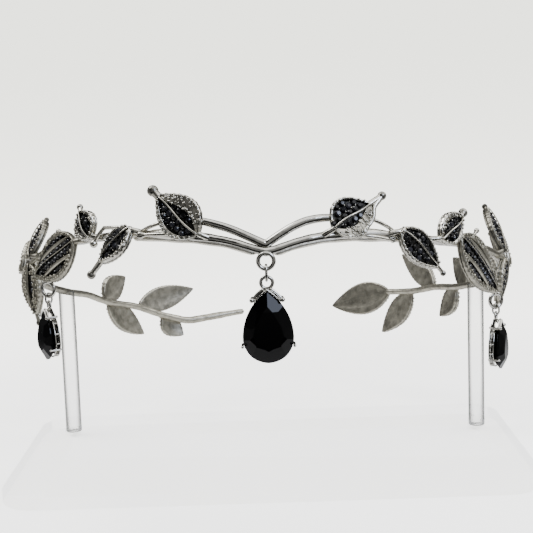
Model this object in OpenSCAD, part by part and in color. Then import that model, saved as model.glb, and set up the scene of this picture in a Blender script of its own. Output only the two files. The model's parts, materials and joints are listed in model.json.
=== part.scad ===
// Open-back leaf circlet with three pear drops, held on a plain clear stand.
// Frame: origin on the surface under the middle of the whole, +Z up, the front faces -Y.
// The band is worked out in its own flat frame and then set on the stand, sloping back.

/* [Band] */
// Half width of the band, to the middle of its rail
band_half_w = 76; // [70:1:84]
// Half depth of the band, to the middle of its rail
band_half_d = 92; // [86:1:100]
// Height of the band's centre over the surface
band_h = 56; // [52:1:64]
// Slope of the band on its stand, the back lower than the front
band_tilt = 16; // [10:1:18]
// Sideways lean of the band, the right side lower
band_lean = 1.3; // [0:0.1:1.5]
// Place of the band's centre along Y
band_y = 2.15; // [0:0.05:4]

/* [Leaves] */
// How far the leaves stand off the rail's middle
leaf_out = 2; // [1.6:0.1:2.6]
// Thickness of a leaf plate
leaf_t = 0.8; // [0.6:0.1:1]
// Height of the rim over the plate
rim_h = 1.2; // [1:0.1:1.5]
// Width of the rim
rim_w = 0.9; // [0.7:0.1:1.2]
// Drop of a leaf's edges behind its vein, for each millimetre of half width
leaf_fold = 0.16; // [0:0.02:0.3]
// Height of the paved surface over the plate
pave_h = 0.9; // [0.7:0.1:1]
// Clear gap round the paved surface
pave_gap = 0.1; // [0.05:0.05:0.2]
// Radius of the raised mid vein
vein_r = 0.32; // [0.25:0.01:0.4]

/* [Drops] */
// Width of the front stone
stone_w = 13; // [11:0.5:14]
// Length of the front stone
stone_l = 18.5; // [16:0.5:20]
// Thickness of the front stone
stone_t = 5.4; // [4.5:0.1:6]
// Size of the side drops against the front one
side_scale = 0.75; // [0.7:0.01:0.8]
// Ring soldered to the band, radius to the middle of its wire
ring_r = 2; // [1.8:0.1:2.2]
// Radius of the soldered ring's wire
ring_wire = 0.55; // [0.45:0.01:0.6]
// Radius of the link's round ends, to the middle of its wire
link_r = 1.4; // [1.35:0.05:1.5]
// Radius of the link's wire
link_wire = 0.36; // [0.3:0.01:0.4]
// Radius of the setting's bail, to the middle of its wire
bail_r = 1.5; // [1.45:0.01:1.6]
// Radius of the bail's wire
bail_wire = 0.45; // [0.4:0.01:0.48]

/* [Stand] */
// Width of the base plate
base_w = 164; // [150:2:180]
// Depth of the base plate
base_d = 92; // [84:2:120]
// Thickness of the base plate
base_t = 4; // [3:0.5:6]
// Corner radius of the base plate
base_corner = 12; // [6:1:20]
// Radius of a post
post_r = 2.8; // [2.5:0.1:3.5]
// Depth of a post's socket in the base plate
socket_d = 2.5; // [1.5:0.5:3]

/* [Hidden] */
play = 0.1;          // gap between parts that fit each other
wire_gap = 0.1;      // gap between wires that hang in each other
short_steps = 5;     // sections along a leaf under 14 mm
long_steps = 6;      // sections along a longer leaf
rail_step = 5;       // degrees between sections of the branch rail
rail_sides = 6;      // sides of the rails' sections
upper_step = 2.5;    // degrees between sections of the upper rail
leaf_start = 0.02;   // where a leaf plate starts and, from the other end, stops

// The branch rail all round: its height and radius at angles from the front, left negative
RAIL_ANGLE = 0;
RAIL_H = 1;
RAIL_R = 2;
rail_rows = [
    [-173.5, 2.7, 1.0], [-164.5, 0.5, 1.4], [-156, -1.8, 1.4], [-148, 0, 1.2],
    [-138.5, 2.8, 1.2], [-128.5, 3.1, 1.2], [-121, 4.8, 1.2], [-112, 4.3, 1.2],
    [-95, 4.2, 1.3], [-77, 4.5, 1.3], [-60, 5, 1.3], [-44.5, 6, 1.2],
    [-37.5, 5.7, 1.1], [-31, 5.5, 1.1], [-24.5, 5, 1.0], [-20, 4.2, 1.3],
    [-13, 3.1, 1.3], [-7, 1.6, 1.1], [-2, -0.6, 1.1], [0, -1.3, 1.2],
    [2, -0.7, 1.1], [6, 1.3, 1.1], [11, 2.8, 1.2], [16.5, 3.6, 1.4],
    [21.5, 3.8, 1.2], [26, 4.3, 1.0], [31, 4.2, 1.1], [38.5, 4, 1.1],
    [45, 4.8, 1.2], [60, 5, 1.3], [77, 5, 1.3], [95, 4.5, 1.3],
    [105, 4.4, 1.2], [114.5, 5.1, 1.2], [124, 6.8, 1.2], [133, 6.5, 1.2],
    [141.5, 7.6, 1.1]
];

// The upper front rail: its height, distance out and radius
UPPER_OUT = 2;
UPPER_R = 3;
upper_rows = [
    [-15, 7.6, 1.1, 0.8], [-12.5, 7.3, 0.2, 1], [-10.5, 6.4, 0, 1.1], [-7, 5, 0, 1.1],
    [-3.7, 2.9, 0, 1.1], [0, 0.6, 0, 1.1], [2.5, 2.9, 0, 1.1], [6, 5.9, 0, 1.1],
    [9.5, 7.4, 0, 1.1], [12.5, 7.7, 0.2, 1], [15, 7.7, 1.1, 0.8]
];

// Leaves: where the base and the tip lie, how far out the tip is, width, turn about the vein,
// and the tendril that runs on from the tip with a ball on its end
BASE_ANGLE = 0;
BASE_H = 1;
TIP_ANGLE = 2;
TIP_H = 3;
TIP_OUT = 4;
LEAF_W = 5;
LEAF_TURN = 6;
TENDRIL_L = 7;
BALL_R = 8;
left_leaves = [
    [-12.6, 3.3, -20.6, 14.3, 2.5, 11, 0, 2, 1.3],
    [-26.6, 6.6, -33.4, -1.8, 2.5, 8.5, -20, 4.4, 1.2],
    [-36.7, 5.6, -40.4, 13.6, 1.0, 8, 0, 1.6, 0.9],
    [-41.5, 5.6, -55.3, -1.7, 3.0, 13, 0, 0, 0],
    [-61.4, 5, -67.6, 17.4, -4, 11, -15, 1.2, 0.8],
    [-62, 3.4, -63.4, -11.4, -1, 9, 20, 2.4, 0.9],
    [-78, 4.5, -86, 16, -2, 9, 0, 1.6, 0.8],
    [-92, 4.4, -99, 14, -2.5, 8, 0, 1.6, 0.8],
    [-128.7, 5, -135.8, 13.9, 2, 9, 0, 0, 0],
    [-130.2, 2.8, -142.3, -7.6, 2, 9, 0, 0, 0],
    [-141, 3.2, -158, 11.4, 2, 9, 0, 0, 0],
    [-148.5, -0.6, -155, -7.4, 2, 8, 0, 0, 0]
];
right_leaves = [
    [12.7, 4.3, 20, 11.4, 2.5, 11, 12, 4, 1.15],
    [26.5, 5.4, 35.4, -3.8, 2.5, 8.5, 0, 2.2, 0.8],
    [36.8, 4.2, 44.3, 12.1, 1.0, 8, 0, 1.8, 1.1],
    [42.8, 5.8, 56, -7.5, 3.0, 13, 0, 0, 0],
    [64.9, 5.9, 70.7, 21, -4, 11, 16, 0.9, 0.9],
    [66, 4.6, 66.6, -8.5, -1, 9, 0, 1.6, 0.8],
    [78, 5, 85.5, 16, -2, 9, 0, 1.6, 0.8],
    [92, 4.7, 99, 14, -2, 8, 0, 1.6, 0.8],
    [112, 5.4, 117, 16.4, 2, 8, 0, 0, 0],
    [116.8, 4.8, 123.3, -4.1, 2, 8, 0, 0, 0],
    [125.6, 7.4, 136.5, 21.5, 2, 8, 0, 0, 0],
    [134, 6.2, 143.9, -7.7, 2, 9, 0, 0, 0],
    [141.5, 7.6, 159.5, 4, 2, 12, 0, 0, 0]
];

// Twigs: angle, height and distance out of both ends, radius, and the ball on the second end
twigs = [
    [-20.4, 7.2, 1.6, -25, 5.6, 0.6, 0.5, 0],
    [-17.5, 4, 0.9, -25, 3.2, 0.8, 0.5, 0.7],
    [21.2, 7.4, 1.6, 25.5, 5.4, 0.6, 0.5, 0],
    [19, 3.4, 0.9, 25.5, 2.6, 0.8, 0.5, 0.7],
    [-32.5, 5.6, 0.4, -36, 3.8, 1.8, 0.5, 1.1],
    [30, 4.4, 0.8, 34, 2.4, 1.8, 0.5, 1.0],
    [-45, 6, 0.8, -48, 9.6, 1.4, 0.5, 0.8],
    [46, 5, 0.8, 50, 9, 1.4, 0.5, 0.8]
];

// Drops: angle, height and distance out of the soldered ring's centre, size of all that hangs
// in the ring, and the turns about the vertical of the ring, the link and the setting
DROP_SCALE = 3;
RING_TURN = 4;
LINK_TURN = 5;
STONE_TURN = 6;
front_drop = [0, -3.7, 0.3, 1, 0, 90, 0];
left_drop = [-50.9, -6.2, 2.2, side_scale, -25, 46, -62];
right_drop = [57.5, -9.7, 2, side_scale, 25, -44, 68];

// Posts: the rail angle that each one carries
post_angles = [-111, 105];

left_names = [for (i = [1:len(left_leaves)]) str("pave_left_", i)];
right_names = [for (i = [1:len(right_leaves)]) str("pave_right_", i)];

function unit(v) = v / norm(v);
function column(rows, key, c) = lookup(key, [for (r = rows) [r[0], r[c]]]);

// A point of the band: angle from the front, height over the band's plane, distance out
function wall_n(a) = unit([sin(a) / band_half_w, -cos(a) / band_half_d, 0]);
function wall_p(a, h, out = 0) = [band_half_w * sin(a), -band_half_d * cos(a), h] + out * wall_n(a);

// The same point as it stands in the room
function tilted(p) = [
    p.x, p.y * cos(band_tilt) + p.z * sin(band_tilt), p.z * cos(band_tilt) - p.y * sin(band_tilt)
];
function leaned(p) = [
    p.x * cos(band_lean) + p.z * sin(band_lean), p.y, p.z * cos(band_lean) - p.x * sin(band_lean)
];
function room_p(p) = leaned(tilted(p)) + [0, band_y, band_h];

module on_stand() {
    translate([0, band_y, band_h]) rotate([-band_tilt, band_lean, 0]) children();
}

// A closed solid through a list of sections with equal numbers of points
module loft(sections) {
    n = len(sections[0]);
    last = len(sections) - 1;
    points = [for (s = sections) for (p = s) p];
    walls = [
        for (i = [0:last - 1]) for (j = [0:n - 1]) let (
            a = i * n + j,
            b = i * n + (j + 1) % n,
            c = a + n,
            d = b + n
        ) each [[a, c, d], [a, d, b]]
    ];
    start_cap = [for (j = [0:n - 1]) j];
    end_cap = [for (j = [n - 1:-1:0]) last * n + j];
    polyhedron(points, concat([start_cap], walls, [end_cap]));
}

// A tube along points, each with its outward direction and radius
module tube(path, outs, radii, sides = 6) {
    last = len(path) - 1;
    loft([
        for (i = [0:last]) let (
            t = unit(path[min(i + 1, last)] - path[max(i - 1, 0)]),
            n = unit(outs[i] - (outs[i] * t) * t),
            b = cross(t, n)
        ) [for (j = [0:sides - 1]) path[i] + radii[i] * (cos(360 * j / sides) * n + sin(360 * j / sides) * b)]
    ]);
}

// A straight wire between two points, its ends inside other metal
module wire(from, to, r_from, r_to) {
    out = abs((to - from) * [0, 0, 1]) > 0.9 * norm(to - from) ? [1, 0, 0] : [0, 0, 1];
    tube([from, to], [out, out], [r_from, r_to], 5);
}

module ball(at, r) {
    translate(at) sphere(r = r, $fn = r < 1 ? 6 : 8);
}

// Leaf geometry: the half width swells fast from the base and runs out to a point
function half_w(t, w) = w / 2 * pow(sin(180 * pow(t, 0.82)), 0.85);
function leaf_base(r) = wall_p(r[BASE_ANGLE], r[BASE_H], leaf_out);
function leaf_tip(r) = wall_p(r[TIP_ANGLE], r[TIP_H], r[TIP_OUT]);
function leaf_axis(r) = unit(leaf_tip(r) - leaf_base(r));
function leaf_side(r) = let (
    a = leaf_axis(r),
    n0 = wall_n((r[BASE_ANGLE] + r[TIP_ANGLE]) / 2),
    n = unit(n0 - (n0 * a) * a),
    s = cross(n, a)
) cos(r[LEAF_TURN]) * s - sin(r[LEAF_TURN]) * n;
function leaf_face(r) = cross(leaf_axis(r), leaf_side(r));
function leaf_l(r) = norm(leaf_tip(r) - leaf_base(r));

// A point of a leaf: along the vein 0 to 1, across it and up from the plate
function leaf_p(r, t, across, up) =
    leaf_base(r) + leaf_axis(r) * leaf_l(r) * t + leaf_side(r) * across
    + leaf_face(r) * (up - leaf_fold * abs(across) + 0.8 * sin(180 * t));

function steps_of(r) = leaf_l(r) < 14 ? short_steps : long_steps;
function leaf_ts(steps) = [for (i = [0:steps]) leaf_start + (1 - 2 * leaf_start) * i / steps];

// Half widths of the whole plate and of the floor between its rims
function plate_w(r, t) = half_w(t, r[LEAF_W]) + 0.2;
function floor_w(r, t) = max(plate_w(r, t) - rim_w, 0.1);

module leaf_plate(r) {
    loft([
        for (t = leaf_ts(steps_of(r))) let (hw = plate_w(r, t), hi = floor_w(r, t)) [
            leaf_p(r, t, -hw, -leaf_t), leaf_p(r, t, 0, -leaf_t), leaf_p(r, t, hw, -leaf_t),
            leaf_p(r, t, hw, rim_h), leaf_p(r, t, hi, rim_h), leaf_p(r, t, hi, 0),
            leaf_p(r, t, 0, 0), leaf_p(r, t, -hi, 0), leaf_p(r, t, -hi, rim_h),
            leaf_p(r, t, -hw, rim_h)
        ]
    ]);
}

// The vein runs clear over the paved surface and dips into the rim at both ends
module leaf_vein(r) {
    ts = leaf_ts(3);
    clear = pave_h + 2 * pave_gap + vein_r;
    levels = [rim_h + pave_gap, clear, clear, rim_h + pave_gap];
    tube(
        [for (i = [0:3]) leaf_p(r, ts[i], 0, levels[i])],
        [for (t = ts) leaf_face(r)],
        [for (t = ts) vein_r], 4
    );
}

// The stalk that joins a leaf to the rail, and the tendril that runs on from its tip
module leaf_stalk(r) {
    back = r[BASE_ANGLE] < 0 ? 2 : -2;
    root = r[BASE_ANGLE] + back;
    wire(wall_p(root, column(rail_rows, root, RAIL_H)), leaf_p(r, 0.04, 0, 0), 0.9, 0.7);
}

module leaf_tendril(r) {
    ball = leaf_tip(r) + leaf_axis(r) * r[TENDRIL_L];
    hull() {
        translate(leaf_p(r, 0.95, 0, 0.2)) sphere(r = 0.6, $fn = 6);
        translate(ball) sphere(r = 0.5, $fn = 6);
    }
    ball(ball, r[BALL_R]);
}

module rails() {
    branch = [for (a = [rail_rows[0][0]:rail_step:rail_rows[len(rail_rows) - 1][0]]) a];
    tube(
        [for (a = branch) wall_p(a, column(rail_rows, a, RAIL_H))],
        [for (a = branch) wall_n(a)],
        [for (a = branch) column(rail_rows, a, RAIL_R)], rail_sides
    );
    upper = [for (a = [upper_rows[0][0]:upper_step:upper_rows[len(upper_rows) - 1][0]]) a];
    tube(
        [for (a = upper) wall_p(a, column(upper_rows, a, RAIL_H), column(upper_rows, a, UPPER_OUT))],
        [for (a = upper) wall_n(a)],
        [for (a = upper) column(upper_rows, a, UPPER_R)], rail_sides
    );
}

module twig(r) {
    from = wall_p(r[0], r[1], r[2]);
    to = wall_p(r[3], r[4], r[5]);
    wire(from, to, r[6], r[6]);
    if (r[7] > 0) ball(to, r[7]);
}

function drop_place(d) = room_p(wall_p(d[0], d[1], d[2]));

module wire_ring(r, wire_radius, round_steps, wire_steps) {
    rotate([90, 0, 0]) rotate_extrude($fn = round_steps)
        translate([r, 0]) circle(r = wire_radius, $fn = wire_steps);
}

// A soldered ring and the short stem that carries it
module soldered_ring(d, stem_top) {
    translate(drop_place(d)) rotate([0, 0, d[RING_TURN]]) wire_ring(ring_r, ring_wire, 12, 6);
    wire(drop_place(d) + [0, 0, ring_r], stem_top, ring_wire, ring_wire);
}

module leaf_band() {
    color([0.55, 0.53, 0.5]) {
        on_stand() {
            rails();
            for (r = concat(left_leaves, right_leaves)) {
                leaf_plate(r);
                leaf_vein(r);
                leaf_stalk(r);
                if (r[BALL_R] > 0) leaf_tendril(r);
            }
            for (r = twigs) twig(r);
        }
        soldered_ring(front_drop, room_p(wall_p(0, column(rail_rows, 0, RAIL_H))));
        soldered_ring(left_drop, room_p(leaf_p(left_leaves[3], 0.62, 5.4, 0)));
        soldered_ring(right_drop, room_p(leaf_p(right_leaves[3], 0.96, 0, 0)));
    }
}

// The paved surface of one leaf, a slab between the rims under the vein. Its sections are
// those of the plate, and its ends lie halfway into the plate's first and last steps.
function pave_section(r, t) = let (hp = max(floor_w(r, t) - pave_gap, 0.03)) [
    leaf_p(r, t, -hp, pave_gap), leaf_p(r, t, 0, pave_gap), leaf_p(r, t, hp, pave_gap),
    leaf_p(r, t, hp, pave_h), leaf_p(r, t, 0, pave_h), leaf_p(r, t, -hp, pave_h)
];

module pave(r) {
    all = [for (t = leaf_ts(steps_of(r))) pave_section(r, t)];
    last = len(all) - 1;
    color([0.03, 0.03, 0.035]) on_stand() loft([
        (all[0] + all[1]) / 2, for (i = [1:last - 1]) all[i], (all[last - 1] + all[last]) / 2
    ]);
}

// The chain of a drop, measured from the lowest point of the soldered ring's hole
link_span = link_r * 2 + 1.14;
link_top = wire_gap + link_wire;
link_low = link_top - link_span;
bail_top = link_low + link_wire + wire_gap + bail_wire;
bail_z = bail_top - bail_r;
apex_z = bail_z - bail_r - bail_wire + 0.1;

// Hangs a drop's piece in its ring, at its size and turned about the vertical
module hang(d, turn) {
    translate(drop_place(d) - [0, 0, ring_r - ring_wire]) rotate([0, 0, turn])
        scale(d[DROP_SCALE]) children();
}

// An oval link in the XZ plane: two half rings and two straight sides
module link(d) {
    color([0.6, 0.58, 0.55]) hang(d, d[LINK_TURN]) {
        translate([0, 0, link_top - link_r]) rotate([90, 0, 0])
            rotate_extrude(angle = 180, $fn = 48) translate([link_r, 0]) circle(r = link_wire, $fn = 24);
        translate([0, 0, link_low + link_r]) rotate([90, 180, 0])
            rotate_extrude(angle = 180, $fn = 48) translate([link_r, 0]) circle(r = link_wire, $fn = 24);
        for (x = [-link_r, link_r])
            translate([x, 0, link_low + link_r]) cylinder(r = link_wire, h = link_top - link_low - 2 * link_r, $fn = 24);
    }
}

// The pear outline: a round bottom and two long arcs that meet in a point, apex at the origin
stone_r = stone_w / 2;
pear_d = stone_l - stone_r;
flank_r = (pear_d * pear_d + stone_r * stone_r) / (2 * stone_r);

module pear() {
    translate([0, -pear_d]) circle(r = stone_r, $fn = 64);
    intersection() {
        translate([stone_r - flank_r, -pear_d]) circle(r = flank_r, $fn = 128);
        translate([flank_r - stone_r, -pear_d]) circle(r = flank_r, $fn = 128);
        translate([-stone_r, -pear_d]) square([stone_w, pear_d]);
    }
}

// The pear as a polygon, shrunk about the middle of its round bottom
function pear_points(k) = concat(
    [for (a = [-180:22.5:0]) [stone_r * k * cos(a), -pear_d + stone_r * k * sin(a)]],
    [
        for (i = [1:4]) let (z = pear_d * i / 4.6)
        [k * (stone_r - flank_r + sqrt(flank_r * flank_r - z * z)), -pear_d + k * z]
    ],
    [[0, -pear_d + k * pear_d]],
    [
        for (i = [4:-1:1]) let (z = pear_d * i / 4.6)
        [-k * (stone_r - flank_r + sqrt(flank_r * flank_r - z * z)), -pear_d + k * z]
    ]
);

module pear_slice(k, at) {
    translate([0, 0, at]) linear_extrude(0.01) polygon(pear_points(k));
}

girdle_t = 0.5;      // thickness of the stone's edge
crown_t = 1.9;       // height of the crown over the edge
table_k = 0.58;      // size of the flat table against the outline
cup_k = 0.9;         // size of the cup's outline against the stone's
cup_t = 0.6;         // thickness of the cup's back
cup_rim = -1.8;      // level of the cup's rim, where the stone has narrowed enough to drop in
collar_drop = 3.2;   // how far the collar reaches down the stone's shoulders
pavilion_t = stone_t - crown_t - girdle_t;
cup_floor = -girdle_t - pavilion_t - play - cup_t;
forward = 2.2;       // how far the stone's edge lies in front of its bail

// Stones and settings are drawn flat with the stone facing +Z, and stood up here to face -Y
module upright() {
    translate([0, -forward, apex_z]) rotate([90, 0, 0]) children();
}

module drop_stone(d) {
    color([0.02, 0.02, 0.025]) hang(d, d[STONE_TURN]) upright() hull() {
        pear_slice(table_k, crown_t);
        pear_slice(1, 0);
        pear_slice(1, -girdle_t);
        pear_slice(0.5, -girdle_t - pavilion_t);
    }
}

// A prong beside the stone, with a ball on its end and a foot of a given reach to the cup
module prong(side, x, y, foot) {
    translate([side * x, y, cup_floor]) cylinder(r = 0.45, h = 0.3 - cup_floor, $fn = 16);
    translate([side * x, y, 0.3]) sphere(r = 0.55, $fn = 16);
    translate([side * (x - foot / 2) - foot / 2, y - 0.4, cup_floor]) cube([foot, 0.8, cup_t]);
}

module drop_setting(d) {
    color([0.6, 0.58, 0.55]) hang(d, d[STONE_TURN]) {
        translate([0, 0, bail_z]) wire_ring(bail_r, bail_wire, 64, 24);
        upright() {
            difference() {
                translate([0, -pear_d, cup_floor]) linear_extrude(cup_rim - cup_floor)
                    scale(cup_k) translate([0, pear_d]) pear();
                translate([0, -pear_d, cup_floor + cup_t]) linear_extrude(stone_t)
                    scale(cup_k - 0.1) translate([0, pear_d]) pear();
            }
            difference() {
                translate([0, 0.55, cup_floor]) linear_extrude(0.4 - cup_floor) pear();
                translate([0, play, cup_floor - 1]) linear_extrude(stone_t + 3) pear();
                translate([-stone_w, -stone_l - collar_drop, cup_floor - 2]) cube([2 * stone_w, stone_l, 2 * stone_t]);
            }
            translate([0, -0.6, cup_floor]) cylinder(r = 0.9, h = cup_t, $fn = 24);
            for (side = [-1, 1]) {
                prong(side, 3.6, -2.3, 0.9);
                prong(side, 6.8, -14.1, 1.8);
            }
        }
    }
}

function post_foot(a) = let (p = room_p(wall_p(a, column(rail_rows, a, RAIL_H)))) [p.x, p.y];
function post_top(a) = room_p(wall_p(a, column(rail_rows, a, RAIL_H))).z;

module stand_base() {
    color([0.85, 0.9, 0.92, 0.35]) difference() {
        linear_extrude(base_t) {
            square([base_w, base_d - 2 * base_corner], center = true);
            square([base_w - 2 * base_corner, base_d], center = true);
            for (x = [-1, 1], y = [-1, 1])
                translate([x * (base_w / 2 - base_corner), y * (base_d / 2 - base_corner)])
                    circle(r = base_corner, $fn = 48);
        }
        for (a = post_angles)
            translate([post_foot(a).x, post_foot(a).y, base_t - socket_d])
                cylinder(r = post_r + play, h = socket_d + 1, $fn = 48);
    }
}

// A post with a half-round saddle across its top, in line with the rail that lies in it
module stand_post(a) {
    step = 2;
    p0 = room_p(wall_p(a - step, column(rail_rows, a - step, RAIL_H)));
    p1 = room_p(wall_p(a + step, column(rail_rows, a + step, RAIL_H)));
    run = p1 - p0;
    saddle_r = column(rail_rows, a, RAIL_R) + 0.25;
    color([0.85, 0.9, 0.92, 0.35]) difference() {
        translate([post_foot(a).x, post_foot(a).y, base_t - socket_d])
            cylinder(r = post_r, h = post_top(a) - base_t + socket_d, $fn = 48);
        translate([post_foot(a).x, post_foot(a).y, post_top(a)])
            rotate([0, acos(run.z / norm(run)), atan2(run.y, run.x)]) {
                translate([0, 0, -post_r * 3]) cylinder(r = saddle_r, h = post_r * 6, $fn = 48);
                translate([-post_r * 4, -saddle_r, -post_r * 3]) cube([post_r * 4, 2 * saddle_r, post_r * 6]);
            }
    }
}

leaf_band();
for (i = [0:len(left_leaves) - 1])
    pave(left_leaves[i]);
for (i = [0:len(right_leaves) - 1])
    pave(right_leaves[i]);
link(front_drop);  // front_link
drop_setting(front_drop);  // front_setting
drop_stone(front_drop);  // front_stone
link(left_drop);  // left_link
drop_setting(left_drop);  // left_setting
drop_stone(left_drop);  // left_stone
link(right_drop);  // right_link
drop_setting(right_drop);  // right_setting
drop_stone(right_drop);  // right_stone
stand_base();
stand_post(post_angles[0]);  // stand_post_left
stand_post(post_angles[1]);  // stand_post_right
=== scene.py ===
# %% [markdown]
# # A leaf circlet with pear drops, on a clear stand
#
# This lesson builds the visible skin of an open-back circlet. Its parts are cast rails, leaves
# paved in small black crystals, tendrils that end in balls, and three faceted pear drops. The
# packed model is the skeleton: each piece made here rides on one of its bodies and stands for
# one of its nodes, so the piece moves when the body does.

# %% Load the packed model as a fixed frame
import json
import bpy
import numpy as np
from mathutils import Matrix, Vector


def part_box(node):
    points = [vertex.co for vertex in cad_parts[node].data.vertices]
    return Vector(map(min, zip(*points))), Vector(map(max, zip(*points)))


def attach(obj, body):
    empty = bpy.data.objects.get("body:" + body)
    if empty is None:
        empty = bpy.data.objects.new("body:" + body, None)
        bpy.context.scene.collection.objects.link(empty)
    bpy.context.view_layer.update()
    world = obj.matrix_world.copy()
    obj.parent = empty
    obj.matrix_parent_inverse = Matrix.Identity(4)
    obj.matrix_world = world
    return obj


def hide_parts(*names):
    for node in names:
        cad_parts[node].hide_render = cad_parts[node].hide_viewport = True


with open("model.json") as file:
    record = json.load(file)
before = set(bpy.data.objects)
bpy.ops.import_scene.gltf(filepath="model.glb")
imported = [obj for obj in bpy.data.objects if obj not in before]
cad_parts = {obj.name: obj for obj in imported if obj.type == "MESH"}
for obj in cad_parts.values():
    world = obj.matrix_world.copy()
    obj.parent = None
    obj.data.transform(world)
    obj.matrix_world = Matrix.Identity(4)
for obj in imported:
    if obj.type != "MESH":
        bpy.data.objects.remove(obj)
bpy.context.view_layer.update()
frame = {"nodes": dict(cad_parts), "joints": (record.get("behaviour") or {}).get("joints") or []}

MM = 0.001
joint_at = {joint["name"]: np.array(joint["pos_m"]) / MM for joint in frame["joints"]}
print("joints at (mm):", {name: place.round(2).tolist() for name, place in joint_at.items()})

# %% [markdown]
# ## Sizes and the camera
#
# The band is measured by a few sizes of its own, so that all else can be given against them.
# A long lens from a little over the band, looking slightly down, keeps its front and back
# close in size. The camera comes first, because every choice of detail depends on its view.

# %% Driving sizes of the band, in millimetres and degrees
BAND_HALF_W = 76
BAND_HALF_D = 92
BAND_H = 56
BAND_TILT = 16
BAND_LEAN = 1.3
BAND_Y = 2.15
print("the band is", 2 * BAND_HALF_W, "by", 2 * BAND_HALF_D, "mm in its own plane")

# %% Camera
CAMERA_PLACE = np.array([0.6, BAND_Y - 390, BAND_H + 62.7])
CAMERA_PITCH = np.radians(8)
CAMERA_ROLL = np.radians(1.9)
LENS = 81.05
FILM_W = 36


def in_scene(name, data):
    """A new object in the scene, at the origin and unturned, that shows this data."""
    item = bpy.data.objects.new(name, data)
    bpy.context.scene.collection.objects.link(item)
    return item


def set_matrix(item, right, up, back, place):
    """Gives an object its three axes and its place in metres."""
    rows = [[right[i], up[i], back[i], place[i]] for i in range(3)]
    item.matrix_world = Matrix(rows + [[0, 0, 0, 1]])


def make_camera():
    """Looks along +Y, turned down by the pitch, then rolled about its own view line."""
    view = np.array([0, np.cos(CAMERA_PITCH), -np.sin(CAMERA_PITCH)])
    level_right = np.array([1, 0, 0])
    level_up = np.array([0, np.sin(CAMERA_PITCH), np.cos(CAMERA_PITCH)])
    right = np.cos(CAMERA_ROLL) * level_right - np.sin(CAMERA_ROLL) * level_up
    up = np.sin(CAMERA_ROLL) * level_right + np.cos(CAMERA_ROLL) * level_up
    data = bpy.data.cameras.new("camera")
    data.lens = LENS
    data.sensor_width = FILM_W
    data.clip_start = 0.01
    camera = in_scene("camera", data)
    set_matrix(camera, right, up, -view, CAMERA_PLACE * MM)
    bpy.context.scene.camera = camera
    return camera


print("camera at (m):", tuple(round(v, 3) for v in make_camera().location))

# %% [markdown]
# ## Skins from arrays
#
# Cast wire and leaf plates are both a section carried along a path. So one helper, `loft`,
# skins a stack of sections, and another, `sweep`, works out the sections of a round wire.
# Everything is a whole numpy array, in millimetres, until the mesh is made.


# %% Vectors, lofts and sweeps
def unit(vectors):
    """Each vector over its own length."""
    return vectors / np.linalg.norm(vectors, axis=-1, keepdims=True)


def around(count):
    """Angles at even steps round a circle."""
    return np.linspace(0, 2 * np.pi, count, endpoint=False)


def loft(sections, loop=False):
    """A closed skin over sections (rings, points, 3) that run anticlockwise about the way of
    travel: four-sided faces between each ring and the next, and one face over each end."""
    rings, count = sections.shape[:2]
    last = rings if loop else rings - 1
    i, j = np.meshgrid(np.arange(last), np.arange(count), indexing="ij")
    here = i * count
    ahead = ((i + 1) % rings) * count
    step = (j + 1) % count
    faces = np.stack([here + j, here + step, ahead + step, ahead + j], -1).reshape(-1, 4).tolist()
    if not loop:
        faces.append(list(range(count))[::-1])
        faces.append(list(range((rings - 1) * count, rings * count)))
    return sections.reshape(-1, 3), faces


def sweep(path, radii, facing, sides=12, loop=False):
    """A round wire: at each point of the path a circle of the given radius, in the plane that
    the path crosses at right angles. facing is any direction that isn't along the path."""
    if loop:
        along = unit(np.roll(path, -1, axis=0) - np.roll(path, 1, axis=0))
    else:
        along = unit(np.gradient(path, axis=0))
    facing = np.broadcast_to(facing, path.shape)
    across = unit(facing - np.sum(facing * along, axis=1, keepdims=True) * along)
    other = np.cross(along, across)
    angle = around(sides)[None, :, None]
    circle = np.cos(angle) * across[:, None] + np.sin(angle) * other[:, None]
    radii = np.broadcast_to(radii, len(path))[:, None, None]
    return loft(path[:, None] + radii * circle, loop)


def joined(parts):
    """Several (points, faces) pairs as one."""
    starts = np.cumsum([0] + [len(points) for points, _ in parts[:-1]])
    faces = [[v + int(s) for v in face] for (_, many), s in zip(parts, starts) for face in many]
    return np.concatenate([points for points, _ in parts]), faces


trial_path = np.array([[0.0, 0.0, 0.0], [0.0, 0.0, 1.0], [0.0, 0.0, 2.0]])
trial = sweep(trial_path, 0.5, (1, 0, 0), 8)
print("a straight wire of three rings has", len(trial[1]), "faces")


# %% Put a skin into the scene
def add_object(name, points, faces, material):
    """An object from points in metres."""
    mesh = bpy.data.meshes.new(name)
    mesh.from_pydata(points.tolist(), [], faces)
    mesh.materials.append(material)
    return in_scene(name, mesh)


def add_piece(name, skin, material, body, replaces=(), smooth=True, values=None):
    """Makes the object from a skin in millimetres with its material, gives it any point values,
    hangs it on the empty of the body it rides on, and hides the nodes that it stands for."""
    points, faces = skin
    piece = add_object(name, points * MM, faces, material)
    piece.data.polygons.foreach_set("use_smooth", np.full(len(faces), smooth))
    for key, numbers in (values or {}).items():
        layer = piece.data.attributes.new(key, "FLOAT", "POINT")
        layer.data.foreach_set("value", np.asarray(numbers, dtype=np.float32))
    piece.data.update()
    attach(piece, body)
    if replaces:
        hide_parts(*replaces)
    return piece


print("meshes in the packed model:", len(bpy.data.meshes))

# %% [markdown]
# ## Shader maths as plain expressions
#
# A procedural material is a small sum: noise times a number, plus another. The class below
# wraps a node's output so that such a sum can be written as one line of Python.


# %% A socket that can be added and multiplied
def arithmetic(operation, swapped=False):
    """A method that joins a signal and another value by a Math node, in either order."""
    def method(self, other):
        first, second = (other, self) if swapped else (self, other)
        return add_node(self.tree, "Math", {"operation": operation}, {0: first, 1: second})
    return method


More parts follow.
